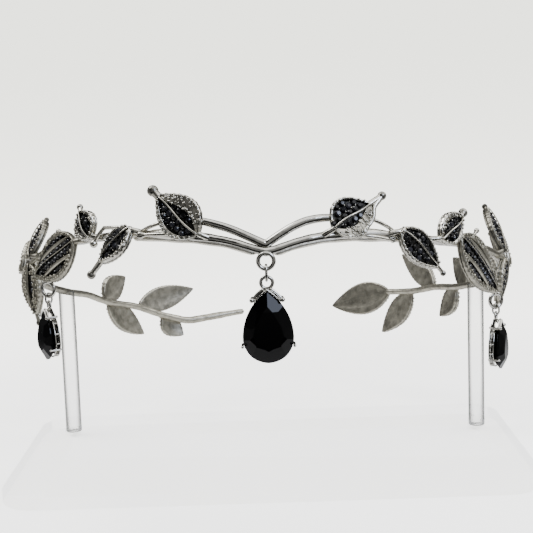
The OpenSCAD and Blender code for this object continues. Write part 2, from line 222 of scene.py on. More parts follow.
class Signal:
    """An output socket. Arithmetic on it adds Math nodes and gives a new Signal."""
    __add__, __radd__ = arithmetic("ADD"), arithmetic("ADD", swapped=True)
    __sub__, __rsub__ = arithmetic("SUBTRACT"), arithmetic("SUBTRACT", swapped=True)
    __mul__, __rmul__ = arithmetic("MULTIPLY"), arithmetic("MULTIPLY", swapped=True)

    def __init__(self, tree, socket):
        self.tree = tree
        self.socket = socket


print("operators:", [name for name in vars(Signal) if name[-5:] in ("add__", "sub__", "mul__")])


# %% Any other node
def add_node(tree, kind, settings, inputs, output=0):
    """Adds a shader node of that kind: its settings first, a ramp's stops among them, then the
    values or links of its input sockets, by number or name."""
    node = tree.nodes.new("ShaderNode" + kind)
    for key, value in settings.items():
        if key == "stops":
            elements = node.color_ramp.elements
            while len(elements) < len(value):
                elements.new(0.5)
            for stop, (place, colour) in zip(elements, value):
                stop.position = place
                stop.color = colour
        else:
            setattr(node, key, value)
    for key, value in inputs.items():
        if isinstance(value, Signal):
            tree.links.new(value.socket, node.inputs[key])
        else:
            node.inputs[key].default_value = value
    return Signal(tree, node.outputs[output]) if len(node.outputs) else None


print("materials in the packed model:", [material.name for material in bpy.data.materials])


# %% Short names for common nodes
def smooth_step(value, low, high, out_low=0.0, out_high=1.0):
    """A signal that goes smoothly from one level to another as value goes from low to high."""
    return add_node(
        value.tree, "MapRange", {"interpolation_type": "SMOOTHSTEP"},
        {"Value": value, "From Min": low, "From Max": high, "To Min": out_low, "To Max": out_high},
    )


def noise(tree, scale, detail):
    """Noise in the object's own coordinates, which are metres."""
    place = add_node(tree, "TexCoord", {}, {}, "Object")
    return add_node(tree, "TexNoise", {}, {"Vector": place, "Scale": scale, "Detail": detail})


def point_value(tree, key):
    """What add_piece stored at each point under that name."""
    return add_node(tree, "Attribute", {"attribute_name": key}, {}, "Fac")


def ramp(tree, factor, stops):
    """Colours at places from 0 to 1, and their mixture between."""
    return add_node(tree, "ValToRGB", {"stops": stops}, {"Fac": factor})


def new_material(name):
    """An empty material and its node tree."""
    material = bpy.data.materials.new(name)
    material.use_nodes = True
    material.node_tree.nodes.clear()
    return material, material.node_tree


def finish_material(tree, inputs):
    """The Principled shader with these inputs, sent to the material's output."""
    surface = add_node(tree, "BsdfPrincipled", {}, inputs)
    add_node(tree, "OutputMaterial", {}, {"Surface": surface})


print("short names for nodes:", [name.__name__ for name in (smooth_step, noise, point_value, ramp)])

# %% [markdown]
# ## The dark silver
#
# The metal is a polished casting with a dark plating: bright where it was buffed, nearly
# black in its hollows, and never quite smooth. A point value called `recess` says how deep in
# a hollow the surface lies, and also darkens the tendrils' balls and two leaves all over. Two
# noises break up the colour and the gloss. One recipe gives four finishes: the front leaves,
# the polished rails and rings, a duller and darker copy for the flanks and back, whose darkness
# is painted shade, and the matt underside.


# %% Dark silver in four finishes
SLOW_NOISE, FINE_NOISE = 420, 1700
DENT_DEPTH = 0.00025


def grey(value, warmth=0.0):
    """A grey that warmth turns towards a greenish yellow."""
    return (value * (1 + 0.3 * warmth), value, value * (1 - warmth), 1)


def make_silver(name, bright, stain, roughness, dents, warmth):
    """Colour runs from bright to nearly black with the recess value and with the stain, a slow
    noise. A fine noise lifts and dents the surface, as casting leaves it under the polish."""
    material, tree = new_material(name)
    slow, fine = noise(tree, SLOW_NOISE, 3), noise(tree, FINE_NOISE, 2)
    recess = point_value(tree, "recess")
    levels = [(0.0, bright), (0.4, bright * 0.45), (0.9, 0.03)]
    stops = [(stop, grey(level, warmth)) for stop, level in levels]
    bump = add_node(
        tree, "Bump", {},
        {"Strength": dents, "Distance": DENT_DEPTH, "Height": slow + 0.4 * fine},
    )
    finish_material(tree, {
        "Base Color": ramp(tree, recess + stain * (slow - 0.42), stops),
        "Metallic": 1.0,
        "Roughness": roughness + 0.16 * slow + 0.2 * recess,
        "Normal": bump,
    })
    return material


# Finish table: name, brightness, stain, roughness, dents, warmth
SILVERS = [
    ("dark_silver", 0.6, 1.5, 0.14, 0.45, 0.12),
    ("dark_silver_polished", 0.53, 0.8, 0.07, 0.16, 0.08),
    # The flanks and back: a darker, duller copy of the silver, whose darkness is painted shade
    ("dark_silver_dull_shaded", 0.39, 1.0, 0.3, 0.4, 0.17),
    ("dark_silver_matt", 0.7, 0.5, 0.36, 0.35, 0.12),
]
silver, polished, dull_shaded_silver, matt = [make_silver(*row) for row in SILVERS]
print("made", silver.name, polished.name, dull_shaded_silver.name, matt.name)

# %% [markdown]
# ## The black crystals
#
# Jet glass shows no depth: it is a black body with a hard, glossy skin. All that the eye gets
# is what each facet reflects. The small crystals differ a little in tone, so each carries its
# own value called `tone`.


# %% Black crystal, large and small
def make_crystal(name, base, pale, roughness, gloss):
    """A near-black body under a glossy skin. The tone value runs from black to pale, and a
    faint film of noise keeps the facets from looking the same."""
    material, tree = new_material(name)
    stops = [(0.0, (base, base, base * 1.1, 1)), (1.0, pale)]
    finish_material(tree, {
        "Base Color": ramp(tree, point_value(tree, "tone"), stops),
        "Roughness": roughness + 0.05 * noise(tree, SLOW_NOISE, 2),
        "IOR": 1.5,
        "Specular IOR Level": gloss,
    })
    return material


black_crystal = make_crystal("black_crystal", 0.001, (0.012, 0.012, 0.015, 1), 0.0, 0.14)
black_pave = make_crystal("black_pave", 0.002, (0.03, 0.03, 0.037, 1), 0.03, 0.4)
print("made", black_crystal.name, black_pave.name)

# %% [markdown]
# ## The clear acrylic
#
# The stand is polished clear plastic. Bending the light at every surface, as the real one
# does, would render slowly and dark. The eye knows clear plastic by its gloss and its grey
# edges, so both finishes are glossy and let light straight through by a low alpha. The grey
# of a rod's edges is painted shade, and the pale of a sheet at a glancing angle is a painted
# sheen, both in place of the light that the plastic would bend and reflect.


# %% Clear acrylic, as a rod and as a sheet
def make_acrylic(name, colour, roughness, wipes, alpha):
    """Clear plastic with faint wipe marks. How much of it shows is worked out by alpha."""
    material, tree = new_material(name)
    finish_material(tree, {
        "Base Color": colour,
        "Roughness": roughness + wipes * noise(tree, 90, 4),
        "IOR": 1.49,
        "Alpha": alpha(tree),
    })
    return material


def rod_alpha(tree):
    """Light goes straight through a rod's middle, and its edges, seen at a glancing angle, show
    its dark grey colour as thin grey lines: painted shade in place of the bent light."""
    facing = add_node(tree, "LayerWeight", {}, {"Blend": 0.5}, "Facing")
    return 0.07 + 0.7 * smooth_step(facing, 0.12, 0.55)


def sheet_alpha(tree):
    """Nearly all of a sheet lets light through to the floor and back, more so face on than at
    a glancing angle, where its gloss and its pale colour take over: the pale colour is a
    painted sheen."""
    return 0.03 + 0.22 * add_node(tree, "LayerWeight", {}, {"Blend": 0.25}, "Fresnel")


# The rod's dark grey colour, seen only at its edges, is painted shade
rod = make_acrylic("clear_acrylic_rod", (0.1, 0.1, 0.09, 1), 0.05, 0.1, rod_alpha)
# The sheet's pale colour, seen most at a glancing angle, is a painted sheen
sheet = make_acrylic("clear_acrylic_sheet", (0.9, 0.92, 0.92, 1), 0.3, 0.15, sheet_alpha)
print("made", rod.name, sheet.name)

# %% [markdown]
# ## Where things lie on the band
#
# The band is an ellipse in its own flat plane, which then slopes back on the stand. Each
# thing on it has an address: an angle from the front, a height over the plane and a distance
# out. With addresses the tables stay short and can be read off the real thing. Three short
# functions turn an address into a place in the room.


# %% Addresses on the band
def wall_out(angle):
    """The band's outward direction at an angle from the front, right positive."""
    a = np.radians(angle)
    return unit(np.stack([np.sin(a) / BAND_HALF_W, -np.cos(a) / BAND_HALF_D, 0 * a], -1))


def wall_place(angle, height, out=0.0):
    """A point of the band's own frame: on the ellipse, raised, and moved outwards."""
    angle = np.asarray(angle, dtype=float)
    a = np.radians(angle)
    flat = [BAND_HALF_W * np.sin(a), -BAND_HALF_D * np.cos(a), height + 0 * a]
    return np.stack(flat, -1) + np.asarray(out, dtype=float)[..., None] * wall_out(angle)


TILT, LEAN = np.radians(BAND_TILT), np.radians(BAND_LEAN)
TILTED = np.array([[1, 0, 0], [0, np.cos(TILT), np.sin(TILT)], [0, -np.sin(TILT), np.cos(TILT)]])
LEANED = np.array([[np.cos(LEAN), 0, np.sin(LEAN)], [0, 1, 0], [-np.sin(LEAN), 0, np.cos(LEAN)]])
BAND_TURN = LEANED @ TILTED


def in_room(points):
    """Band frame to room: sloped back, leaned sideways and lifted onto the stand."""
    return points @ BAND_TURN.T + np.array([0, BAND_Y, BAND_H])


def moved(skin, way):
    """A skin whose points a function has moved."""
    return way(skin[0]), skin[1]


print("the front of the band in the room (mm):", in_room(wall_place(0, 0)).round(2))

# %% [markdown]
# ## The rails
#
# A branch rail runs all the way round, and a second rail arches over its front and dips into
# it in the middle. A thinner rail runs along the underside of the front. All are hand-finished
# wire of uneven thickness, so their heights and radii come from short tables, smoothed
# everywhere but at the sharp dip.

# %% Rail tables: angle, height, radius; and for the upper rail angle, height, out, radius
RAIL_ROWS = np.array([
    [-173.5, 2.7, 1.0], [-164.5, 0.5, 1.4], [-156, -1.8, 1.4], [-148, 0, 1.2],
    [-138.5, 2.8, 1.2], [-128.5, 3.1, 1.2], [-121, 4.8, 1.2], [-112, 4.3, 1.2],
    [-95, 4.2, 1.3], [-77, 4.5, 1.3], [-60, 5, 1.3], [-44.5, 6, 1.2],
    [-37.5, 5.7, 1.1], [-31, 5.5, 1.1], [-24.5, 5, 1.0], [-20, 4.2, 1.3],
    [-13, 3.1, 1.3], [-7, 1.6, 1.1], [-2, -0.6, 1.1], [0, -1.3, 1.2],
    [2, -0.7, 1.1], [6, 1.3, 1.1], [11, 2.8, 1.2], [16.5, 3.6, 1.4],
    [21.5, 3.8, 1.2], [26, 4.3, 1.0], [31, 4.2, 1.1], [38.5, 4, 1.1],
    [45, 4.8, 1.2], [60, 5, 1.3], [77, 5, 1.3], [95, 4.5, 1.3],
    [105, 4.4, 1.2], [114.5, 5.1, 1.2], [124, 6.8, 1.2], [133, 6.5, 1.2],
    [141.5, 7.6, 1.1],
])
UPPER_ROWS = np.array([
    [-15, 7.6, 1.1, 0.8], [-12.5, 7.3, 0.2, 1], [-10.5, 6.4, 0, 1.1], [-7, 5, 0, 1.1],
    [-3.7, 2.9, 0, 1.1], [0, 0.6, 0, 1.1], [2.5, 2.9, 0, 1.1], [6, 5.9, 0, 1.1],
    [9.5, 7.4, 0, 1.1], [12.5, 7.7, 0.2, 1], [15, 7.7, 1.1, 0.8],
])
RAIL_STEP = 0.35
print("rows of the branch rail:", len(RAIL_ROWS), "and of the upper rail:", len(UPPER_ROWS))


# %% Rails as wires
def smooth_column(rows, column, angle):
    """The table's value at an angle: straight between rows, then averaged over two degrees,
    but less and less towards the front dip, where it stays sharp."""
    spread = np.clip((np.abs(angle) - 1) / 4, 0, 1) * 2
    offsets = np.linspace(-1, 1, 9)[:, None] * spread
    return np.interp(angle + offsets, rows[:, 0], rows[:, column]).mean(axis=0)


def tapered(angle, first, last, radii):
    """Rounds off both ends of a rail over the last half degree or so."""
    nearest = np.minimum(angle - first, last - angle)
    return radii * np.sqrt(1 - (1 - np.clip(nearest / 0.7, 0.02, 1)) ** 2)


def rail_wire(angle, radii, lift=0.0, out=0.0, sides=14):
    """A round wire along the branch rail's line, or a little over it or out from it."""
    height = smooth_column(RAIL_ROWS, 1, angle) + lift
    return sweep(wall_place(angle, height, out), radii, wall_out(angle), sides)


def make_branch(first, last):
    """The branch rail between two angles. A slow wave in the radius keeps it from looking
    drawn."""
    angle = np.arange(first, last, RAIL_STEP)
    wave = 1 + 0.03 * np.sin(angle * 0.9) + 0.02 * np.sin(angle * 2.3 + 1)
    radii = smooth_column(RAIL_ROWS, 2, angle) * wave
    return rail_wire(angle, tapered(angle, RAIL_ROWS[0, 0], RAIL_ROWS[-1, 0], radii))


def make_upper():
    """The upper rail, with a wire's even radius."""
    angle = np.arange(UPPER_ROWS[0, 0], UPPER_ROWS[-1, 0], 0.25)
    height, out, radii = (smooth_column(UPPER_ROWS, column, angle) for column in (1, 2, 3))
    radii = tapered(angle, angle[0], angle[-1], radii)
    return sweep(wall_place(angle, height, out), radii, wall_out(angle), 14)


def make_ribbon(first, last):
    """Under each front leaf the branch rail is fuller, left matt from the mould."""
    angle = np.arange(first, last, RAIL_STEP)
    radii = 1.45 * np.sin(np.pi * (angle - first + 0.2) / (last - first + 0.4)) ** 0.35
    return rail_wire(angle, radii, lift=0.25, out=0.25)


def make_under_rail(first, last):
    """A thinner matt wire along the underside of the front, a little behind the branch rail."""
    angle = np.arange(first, last, RAIL_STEP)
    radii = (0.82 + 0.06 * np.sin(angle)) * np.clip((np.abs(angle) - 1.2) / 1.6, 0.1, 1) ** 0.5
    radii = tapered(angle, angle[0], angle[-1], radii)
    return rail_wire(angle, radii, lift=-1.0, out=-0.1, sides=12)


print("points of the upper rail:", len(make_upper()[0]))

# %% Put the rails in
BAND_BODY = "stand_and_band"
FRONT_END = 47.0
RIBBONS = ((-23.5, -13.0), (12.5, 25.0))
UNDER_RAILS = ((-27.0, -1.5), (1.5, 29.0))
front_rails = joined([make_branch(-FRONT_END, FRONT_END), make_upper()])
side_rails = joined([
    make_branch(RAIL_ROWS[0, 0], 1 - FRONT_END), make_branch(FRONT_END - 1, RAIL_ROWS[-1, 0]),
])
under_rails = joined(
    [make_ribbon(*ends) for ends in RIBBONS] + [make_under_rail(*ends) for ends in UNDER_RAILS]
)
# The side rails take the dull shaded silver, whose darkness is painted shade
for name, skin, material in (
    ("front", front_rails, polished), ("side", side_rails, dull_shaded_silver), ("under", under_rails, matt),
):
    skin = moved(skin, in_room)
    add_piece(f"{name}_rails", skin, material, BAND_BODY, ["leaf_band"])
    print(name, "rails:", len(skin[1]), "faces")

# %% [markdown]
# ## The leaves
#
# A leaf is a shallow cast cup: a thin plate with a raised, scalloped rim, a floor that holds
# the crystals, and a vein over the middle. Its outline swells fast from the stalk and runs
# out to a point. One leaf could be modelled by hand and copied, but on the real thing no two
# are alike. So a function casts each from its row of a table: the address of its base and
# tip, its width, and its turn about the vein.

# %% Leaf table: base angle and height, tip angle, height and out, width, turn, tendril, ball
LEFT_LEAVES = [
    (-12.6, 3.3, -20.6, 14.3, 2.5, 11, 0, 1.8, 1.5),
    (-26.6, 6.6, -33.4, -1.8, 2.5, 8.5, -20, 4.4, 1.2),
    (-36.7, 5.6, -40.4, 13.6, 1.0, 8, 0, 1.6, 0.9),
    (-41.5, 5.6, -55.3, -1.7, 3.0, 13, 0, 0, 0),
    (-61.4, 5, -67.6, 17.4, -4, 11, -15, 1.2, 0.8),
    (-62, 3.4, -63.4, -11.4, -1, 9, 20, 2.4, 0.9),
    (-78, 4.5, -86, 16, -2, 9, 0, 1.6, 0.8),
    (-92, 4.4, -99, 14, -2.5, 8, 0, 1.6, 0.8),
    (-128.7, 5, -135.8, 13.9, 2, 9, 0, 0, 0),
    (-130.2, 2.8, -142.3, -7.6, 2, 9, 0, 0, 0),
    (-141, 3.2, -158, 11.4, 2, 9, 0, 0, 0),
    (-148.5, -0.6, -155, -7.4, 2, 8, 0, 0, 0),
]
RIGHT_LEAVES = [
    (12.7, 4.3, 20, 11.4, 2.5, 11, 12, 4, 1.15),
    (26.5, 5.4, 35.4, -3.8, 2.5, 8.5, 0, 2.2, 0.8),
    (36.8, 4.2, 44.3, 12.1, 1.0, 8, 0, 1.8, 1.3),
    (42.8, 5.8, 56, -7.5, 3.0, 13, 0, 0, 0),
    (64.9, 5.9, 70.7, 21, -4, 11, 16, 0.9, 0.9),
    (66, 4.6, 66.6, -8.5, -1, 9, 0, 1.6, 0.8),
    (78, 5, 85.5, 16, -2, 9, 0, 1.6, 0.8),
    (92, 4.7, 99, 14, -2, 8, 0, 1.6, 0.8),
    (112, 5.4, 117, 16.4, 2, 8, 0, 0, 0),
    (116.8, 4.8, 123.3, -4.1, 2, 8, 0, 0, 0),
    (125.6, 7.4, 136.5, 21.5, 2, 8, 0, 0, 0),
    (134, 6.2, 143.9, -7.7, 2, 9, 0, 0, 0),
    (141.5, 7.6, 159.5, 4, 2, 12, 0, 0, 0),
]
print("leaves:", len(LEFT_LEAVES), "left and", len(RIGHT_LEAVES), "right")

# %% A leaf's own frame
LEAF_OUT = 2.0
LEAF_FOLD = 0.16
LEAF_ARCH = 0.8
RIM_W = 0.9

# How far the silver margin reaches in from the rim on both sides of the vein, where it is wide,
# and the row of crystals, counted from the vein, that a silver ridge replaces
WIDE_MARGINS = {
    "left_1": (2.6, 0.5, None), "right_1": (2.3, 0.0, None), "left_2": (0.0, 0.5, None),
    "left_3": (0.3, 0.6, None), "right_3": (0.0, 0.8, None), "left_4": (0.5, 0.9, 1),
    "right_4": (0.9, 1.5, 1), "left_6": (2.6, 2.2, None), "right_6": (1.2, 1.6, None),
}


class Leaf:
    """One leaf's own frame: it starts at the base, runs along the vein, has a side direction
    and a face direction, and is turned about the vein."""

    def __init__(self, name, row):
        base_angle, base_h, tip_angle, tip_h, tip_out, width, turn, tendril, ball = row
        self.name = name
        left, right, self.ridge_row = WIDE_MARGINS.get(name, (0.0, 0.0, None))
        self.margin = {-1: left, 0: 0.0, 1: right}
        self.width = width
        self.tendril = tendril
        self.ball = ball
        self.base_angle = base_angle
        self.base = wall_place(base_angle, base_h, LEAF_OUT)
        self.tip = wall_place(tip_angle, tip_h, tip_out)
        self.length = float(np.linalg.norm(self.tip - self.base))
        self.along = unit(self.tip - self.base)
        out = wall_out((base_angle + tip_angle) / 2)
        level_face = unit(out - (out @ self.along) * self.along)
        level_side = np.cross(level_face, self.along)
        r = np.radians(turn)
        self.side = np.cos(r) * level_side - np.sin(r) * level_face
        self.face = np.cross(self.along, self.side)

    def point(self, t, across, up):
        """t of the way along the vein, across it, and up from the floor. The plate folds back
        from its vein and arches over its length."""
        t, across, up = np.broadcast_arrays(t, across, up)
        rise = up - LEAF_FOLD * np.abs(across) + LEAF_ARCH * np.sin(np.pi * t)
        flat = self.base + t[..., None] * self.length * self.along + across[..., None] * self.side
        return flat + rise[..., None] * self.face

    def half_width(self, t):
        """Half the leaf's width: half a sine wave, pushed towards the base, with a fuller curve."""
        wave = np.clip(np.sin(np.pi * t ** 0.82), 0, 1)
        return self.width / 2 * wave ** 0.85 + 0.2

    def floor_width(self, t, side=0):
        """From the vein to the rim, or with a side, to the silver margin on that side."""
        margin = self.margin[side] * np.sin(np.pi * np.clip(t, 0, 1)) ** 0.5
        return np.maximum(self.half_width(t) - RIM_W - margin, 0.06)


leaves = [Leaf(f"left_{i}", row) for i, row in enumerate(LEFT_LEAVES, 1)]
leaves += [Leaf(f"right_{i}", row) for i, row in enumerate(RIGHT_LEAVES, 1)]
print("their lengths:", [round(leaf.length, 1) for leaf in leaves])


# %% The plate of a leaf
LEAF_BACK = 0.8
RIM_H = 1.2
SCALLOP_PITCH, SCALLOP_OUT, SCALLOP_UP = 1.5, 0.16, 0.14


def half_profile(leaf, t, side, scallops, ends):
    """The section's points on one side, from the middle of the back round the rim to the
    middle of the floor: how far across, how far up, and how deep in a hollow. A groove runs
    round the outer wall, and where the margin is wide it slopes in from the rim."""
    hw = leaf.half_width(t) + SCALLOP_OUT * scallops * ends
    hi = leaf.floor_width(t, side)
    inner = hw - 0.75 * RIM_W
    top = RIM_H * (0.6 + 0.4 * ends) + SCALLOP_UP * scallops * ends
    level = 0 * t
    low_rim = np.minimum(top - 0.1, 0.95)
    return [
        (0.5 * hw, level - LEAF_BACK, 0.16), (0.86 * hw, level - LEAF_BACK, 0.14),
        (0.96 * hw, level - LEAF_BACK + 0.12, 0.0), (hw, level - LEAF_BACK + 0.4, 0.0),
        (hw - 0.05, level - 0.12, 0.3), (hw - 0.16, level, 0.75), (hw - 0.04, level + 0.14, 0.3),
        (hw, level + 0.3, 0.0), (hw, top - 0.35, 0.0), (hw - 0.1, top - 0.1, 0.0),
        (hw - 0.28, top, 0.0), (hw - 0.5, top - 0.03, 0.0), (inner, top - 0.16, 0.25),
        (np.minimum(hi + 0.12, inner), low_rim, 0.15), (hi, low_rim - 0.14, 0.4),
        (hi * 0.98, level + 0.12, 1.0), (hi * 0.9, level, 1.0), (hi * 0.45, level, 1.0),
    ]


def make_leaf_plate(leaf, seed):
    """The right side's half section, and the left side's mirrored, at even steps along the
    vein. Scallops widen and lift the rim."""
    t = np.linspace(0.0, 1.0, 61)
    phase = np.random.default_rng(seed).uniform(0, 2 * np.pi)
    scallops = np.sin(np.pi * leaf.length / SCALLOP_PITCH * t + phase) ** 2
    ends = np.sin(np.pi * t) ** 0.5
    right = half_profile(leaf, t, 1, scallops, ends)
    left = half_profile(leaf, t, -1, scallops[::-1], ends)
    middle = 0 * t
    profile = [(middle, middle - LEAF_BACK, 0.18)] + right + [(middle, middle, 1.0)]
    profile += [(-across, up, dark) for across, up, dark in left[::-1]]
    sections = np.stack([leaf.point(t, across, up) for across, up, _ in profile], axis=1)
    recess = np.tile([dark for _, _, dark in profile], len(t))
    return loft(sections), recess


print("points of the first leaf's plate:", len(make_leaf_plate(leaves[0], 0)[1]))


# %% Curved wires
def relaxed(path, rounds):
    """A path whose inner points have moved to the average of themselves and their neighbours."""
    for _ in range(rounds):
        path = np.concatenate([path[:1], (path[:-2] + 2 * path[1:-1] + path[2:]) / 4, path[-1:]])
    return path


def through(stations, steps, rounds):
    """A path through stations in even steps, its corners relaxed into bends."""
    stations = np.array(stations)
    s = np.linspace(0, len(stations) - 1, steps)
    at = np.arange(len(stations))
    return relaxed(np.stack([np.interp(s, at, column) for column in stations.T], -1), rounds)


def bow(start, bend, end, steps):
    """A quadratic curve from start to end that leans towards bend."""
    s = np.linspace(0, 1, steps)[:, None]
    start, bend, end = np.array(start), np.array(bend), np.array(end)
    return (1 - s) ** 2 * start + 2 * s * (1 - s) * bend + s ** 2 * end


def ball_radii(from_centre, ball, least=0.02):
    """A ball's section at distances from its centre, and nearly nothing beyond it."""
    return np.sqrt(np.clip(ball ** 2 - from_centre ** 2, least ** 2, None))


print("a bow of 5 points:", bow([0, 0], [1, 1], [2, 0], 5).round(2).tolist())

# %% Vein and ridges
VEIN_R = 0.2
VEIN_UP = 1.3
STONE_R = 0.84
STONE_PITCH = 1.74


def make_vein(leaf):
    """A thin wire over the crystals, from rim to rim, thicker at the stalk. It swings once to
    either side, as a drawn line does."""
    t = np.linspace(0.0, 0.97, 33)
    up = VEIN_UP - 0.45 * (2 * t - 1) ** 6
    path = leaf.point(t, 0.28 * np.sin(2 * np.pi * t), up)
    radius = VEIN_R if leaf.ridge_row is None else 0.5 * VEIN_R
    return sweep(path, radius * (1.35 - 0.5 * t), leaf.face, 8)


def row_offset(row):
    """How far a row of crystals lies from the vein."""
    return VEIN_R + 0.05 + STONE_R + row * 0.88 * STONE_PITCH


def make_ridges(leaf):
    """A half-sunk silver wire along each side of the vein, in place of one row of crystals."""
    t = np.linspace(0.12, 0.84, 25)
    swell = np.sin(np.pi * (t - 0.1) / 0.76) ** 0.5
    paths = [leaf.point(t, side * row_offset(leaf.ridge_row), 0.62 * swell) for side in (-1, 1)]
    return [sweep(path, 0.25 + 0.35 * swell, leaf.face, 10) for path in paths]


print("rows of crystals lie off the vein by (mm):", [round(row_offset(k), 2) for k in range(4)])

# %% Stalk and tendril
STALK_BACK = 2.0
# How much darker the tendril's ball is made than the rest of the casting
BALL_DARKENING = 0.4


def make_stalk(leaf):
    """A short curved wire from the middle of the rail to the leaf's base."""
    root_angle = leaf.base_angle - STALK_BACK * np.sign(leaf.base_angle)
    root = wall_place(root_angle, np.interp(root_angle, RAIL_ROWS[:, 0], RAIL_ROWS[:, 1]))
    middle = (root + leaf.base) / 2 + 0.5 * wall_out(root_angle)
    path = bow(root, middle, leaf.point(0.05, 0.0, 0.1), 9)
    return sweep(path, np.linspace(0.95, 0.7, len(path)), leaf.face, 10)


def make_tendril(leaf):
    """The vein's end runs on as a wire, and swells into a ball: near the end the radius is
    that of a sphere, and before it that of the wire, whichever is larger."""
    start = leaf.point(0.93, 0.0, 0.25)
    centre = leaf.tip + leaf.along * leaf.tendril
    reach = float(np.linalg.norm(centre - start)) + leaf.ball
    s, sides = np.linspace(0, 1, 40), 16
    path = start + s[:, None] * reach * unit(centre - start)
    from_centre = s * reach - (reach - leaf.ball)
    sphere = ball_radii(from_centre, leaf.ball)
    neck = max(0.5, 0.75 * leaf.ball)
    wire = np.where(from_centre < 0, neck - 0.14 * s, 0.02)
    recess = np.repeat(np.where(sphere > wire, BALL_DARKENING, 0.0), sides)
    return sweep(path, np.maximum(sphere, wire), leaf.face, sides), recess


print("points of the first tendril:", len(make_tendril(leaves[0])[1]))


# %% Wires that only one leaf has
def edge_wire(leaf):
    """On one leaf the rim's wire leaves the edge and runs on beside the tip to the ball."""
    edge = -leaf.half_width(np.array([0.45, 0.7, 0.8]))
    stations = [
        leaf.point(0.45, 0.9 * edge[0], 1.0), leaf.point(0.7, edge[1], 0.9),
        leaf.point(0.86, 1.05 * edge[2], 0.8), leaf.point(1.0, -1.2, 0.6),
        leaf.tip + leaf.along * leaf.tendril,
    ]
    path = through(stations, steps=24, rounds=3)
    radii = np.interp(np.linspace(0, 4, len(path)), np.arange(5), [0.35, 0.5, 0.55, 0.65, 0.9])
    return [sweep(path, radii, leaf.face, 10)]


def knot_wires(leaf):
    """Where one leaf meets its stalk a few short turns of wire are heaped up."""
    turns = np.linspace(0, 4 * np.pi, 40)
    radius = 0.9 - 0.25 * turns / turns[-1]
    up = 0.7 + radius * np.sin(turns) * 0.7
    path = leaf.point(0.02 + 0.004 * turns, radius * np.cos(turns), up)
    return [sweep(path, 0.32, leaf.along + 0.2 * leaf.side, 8)]


EXTRA_WIRES = {"right_1": edge_wire, "right_2": knot_wires}
print("leaves with wires of their own:", list(EXTRA_WIRES))

# %% Cast the leaves
# How much darker than the others a leaf is all over
OVERALL_DARKENING = {"left_5": 0.25, "right_5": 0.25}


def make_leaf(leaf, seed):
    """The plate, its tendril, vein and stalk, and any wires of its own, as one casting, and
    how dark each point is made: how deep in a hollow it lies, the darker ball of the tendril,
    and on some leaves a darkening all over. The wires lie in no hollow."""
    plate, recess = make_leaf_plate(leaf, seed)
    parts, hollows = [plate], [recess]
    if leaf.ball > 0:
        tendril, ball_darkness = make_tendril(leaf)
        parts.append(tendril)
        hollows.append(ball_darkness)
    parts += [make_vein(leaf), make_stalk(leaf)]
    if leaf.ridge_row is not None:
        parts += make_ridges(leaf)
    parts += EXTRA_WIRES.get(leaf.name, lambda leaf: [])(leaf)
    points, faces = joined(parts)
    known = np.concatenate(hollows)
    values = np.full(len(points), OVERALL_DARKENING.get(leaf.name, 0.0))
    values[:len(known)] += known
    return (in_room(points), faces), values


FRONT_LEAVES = [f"{side}_{i}" for side in ("left", "right") for i in (1, 2, 3)]
for number, leaf in enumerate(leaves):
    skin, recess = make_leaf(leaf, number)
    # Leaves off the front take the dull shaded silver, whose darkness is painted shade
    leaf.silver = silver if leaf.name in FRONT_LEAVES else dull_shaded_silver
    add_piece(
        f"leaf_{leaf.name}", skin, leaf.silver, BAND_BODY, ["leaf_band"],
        values={"recess": recess},
    )
print("cast", len(leaves), "leaves")

# %% [markdown]
# ## Pavé
#
# The crystals sit in rows beside the vein, touching each other, with a grain of silver pushed
# up between them. Instances would be one way, but each crystal has a tone of its own, and the
# export wants one mesh for each piece. So a small faceted button is copied into one mesh for
# each leaf. A row's places are one array, without those that would reach the rim.


# %% The button and the grain
def at_level(flat, level):
    """Flat points, all raised to one level."""
    return np.column_stack([flat, np.full(len(flat), level)])


def button(sides=8):
    """A round crystal of radius 1: a flat table, a sloping crown, a girdle and a blunt back."""
    angle = around(sides)
    ring = np.stack([np.cos(angle), np.sin(angle)], -1)
    half_step = np.pi / sides
    between = np.stack([np.cos(angle + half_step), np.sin(angle + half_step)], -1)
    levels = [(between * 0.55, 0.62), (ring, 0.18), (ring, 0.05), (between * 0.5, -0.45)]
    points = np.concatenate([at_level(xy, z) for xy, z in levels])
    j = np.arange(sides)
    after = (j + 1) % sides
    before = (j - 1) % sides
    table = [list(range(sides))]
    points_down = np.stack([j, j + sides, after + sides], -1)
    points_up = np.stack([before, j + sides, j], -1)
    girdle = np.stack([sides + j, 2 * sides + j, 2 * sides + after, sides + after], -1)
    back = np.stack([2 * sides + j, 3 * sides + j, 2 * sides + after], -1)
    back_up = np.stack([3 * sides + before, 3 * sides + j, 2 * sides + j], -1)
    floor = [list(range(3 * sides, 4 * sides))[::-1]]
    faces = table + floor
    for group in (points_down, points_up, girdle, back, back_up):
        faces += group.tolist()
    return points, faces


def grain_shape(sides=6):
    """A ball of radius 1 as two rings and two points."""
    angle = around(sides)
    ring = np.stack([np.cos(angle), np.sin(angle), 0 * angle], -1)
    rings = [ring * np.cos(t) + [0, 0, np.sin(t)] for t in np.radians([-28, 32])]
    points = np.concatenate(rings + [[[0, 0, -1]], [[0, 0, 1]]])
    j = np.arange(sides)
    after = (j + 1) % sides
    faces = np.stack([j, after, after + sides, j + sides], -1).tolist()
    faces += np.stack([after, j, np.full(sides, 2 * sides)], -1).tolist()
    faces += np.stack([j + sides, after + sides, np.full(sides, 2 * sides + 1)], -1).tolist()
    return points, faces


print("faces of a button:", len(button()[1]), "and of a grain:", len(grain_shape()[1]))


# %% Rows of crystals
ROW_START, ROW_STOP = 0.9, 0.6
STONE_UP, STONE_TILT = 0.42, 0.22


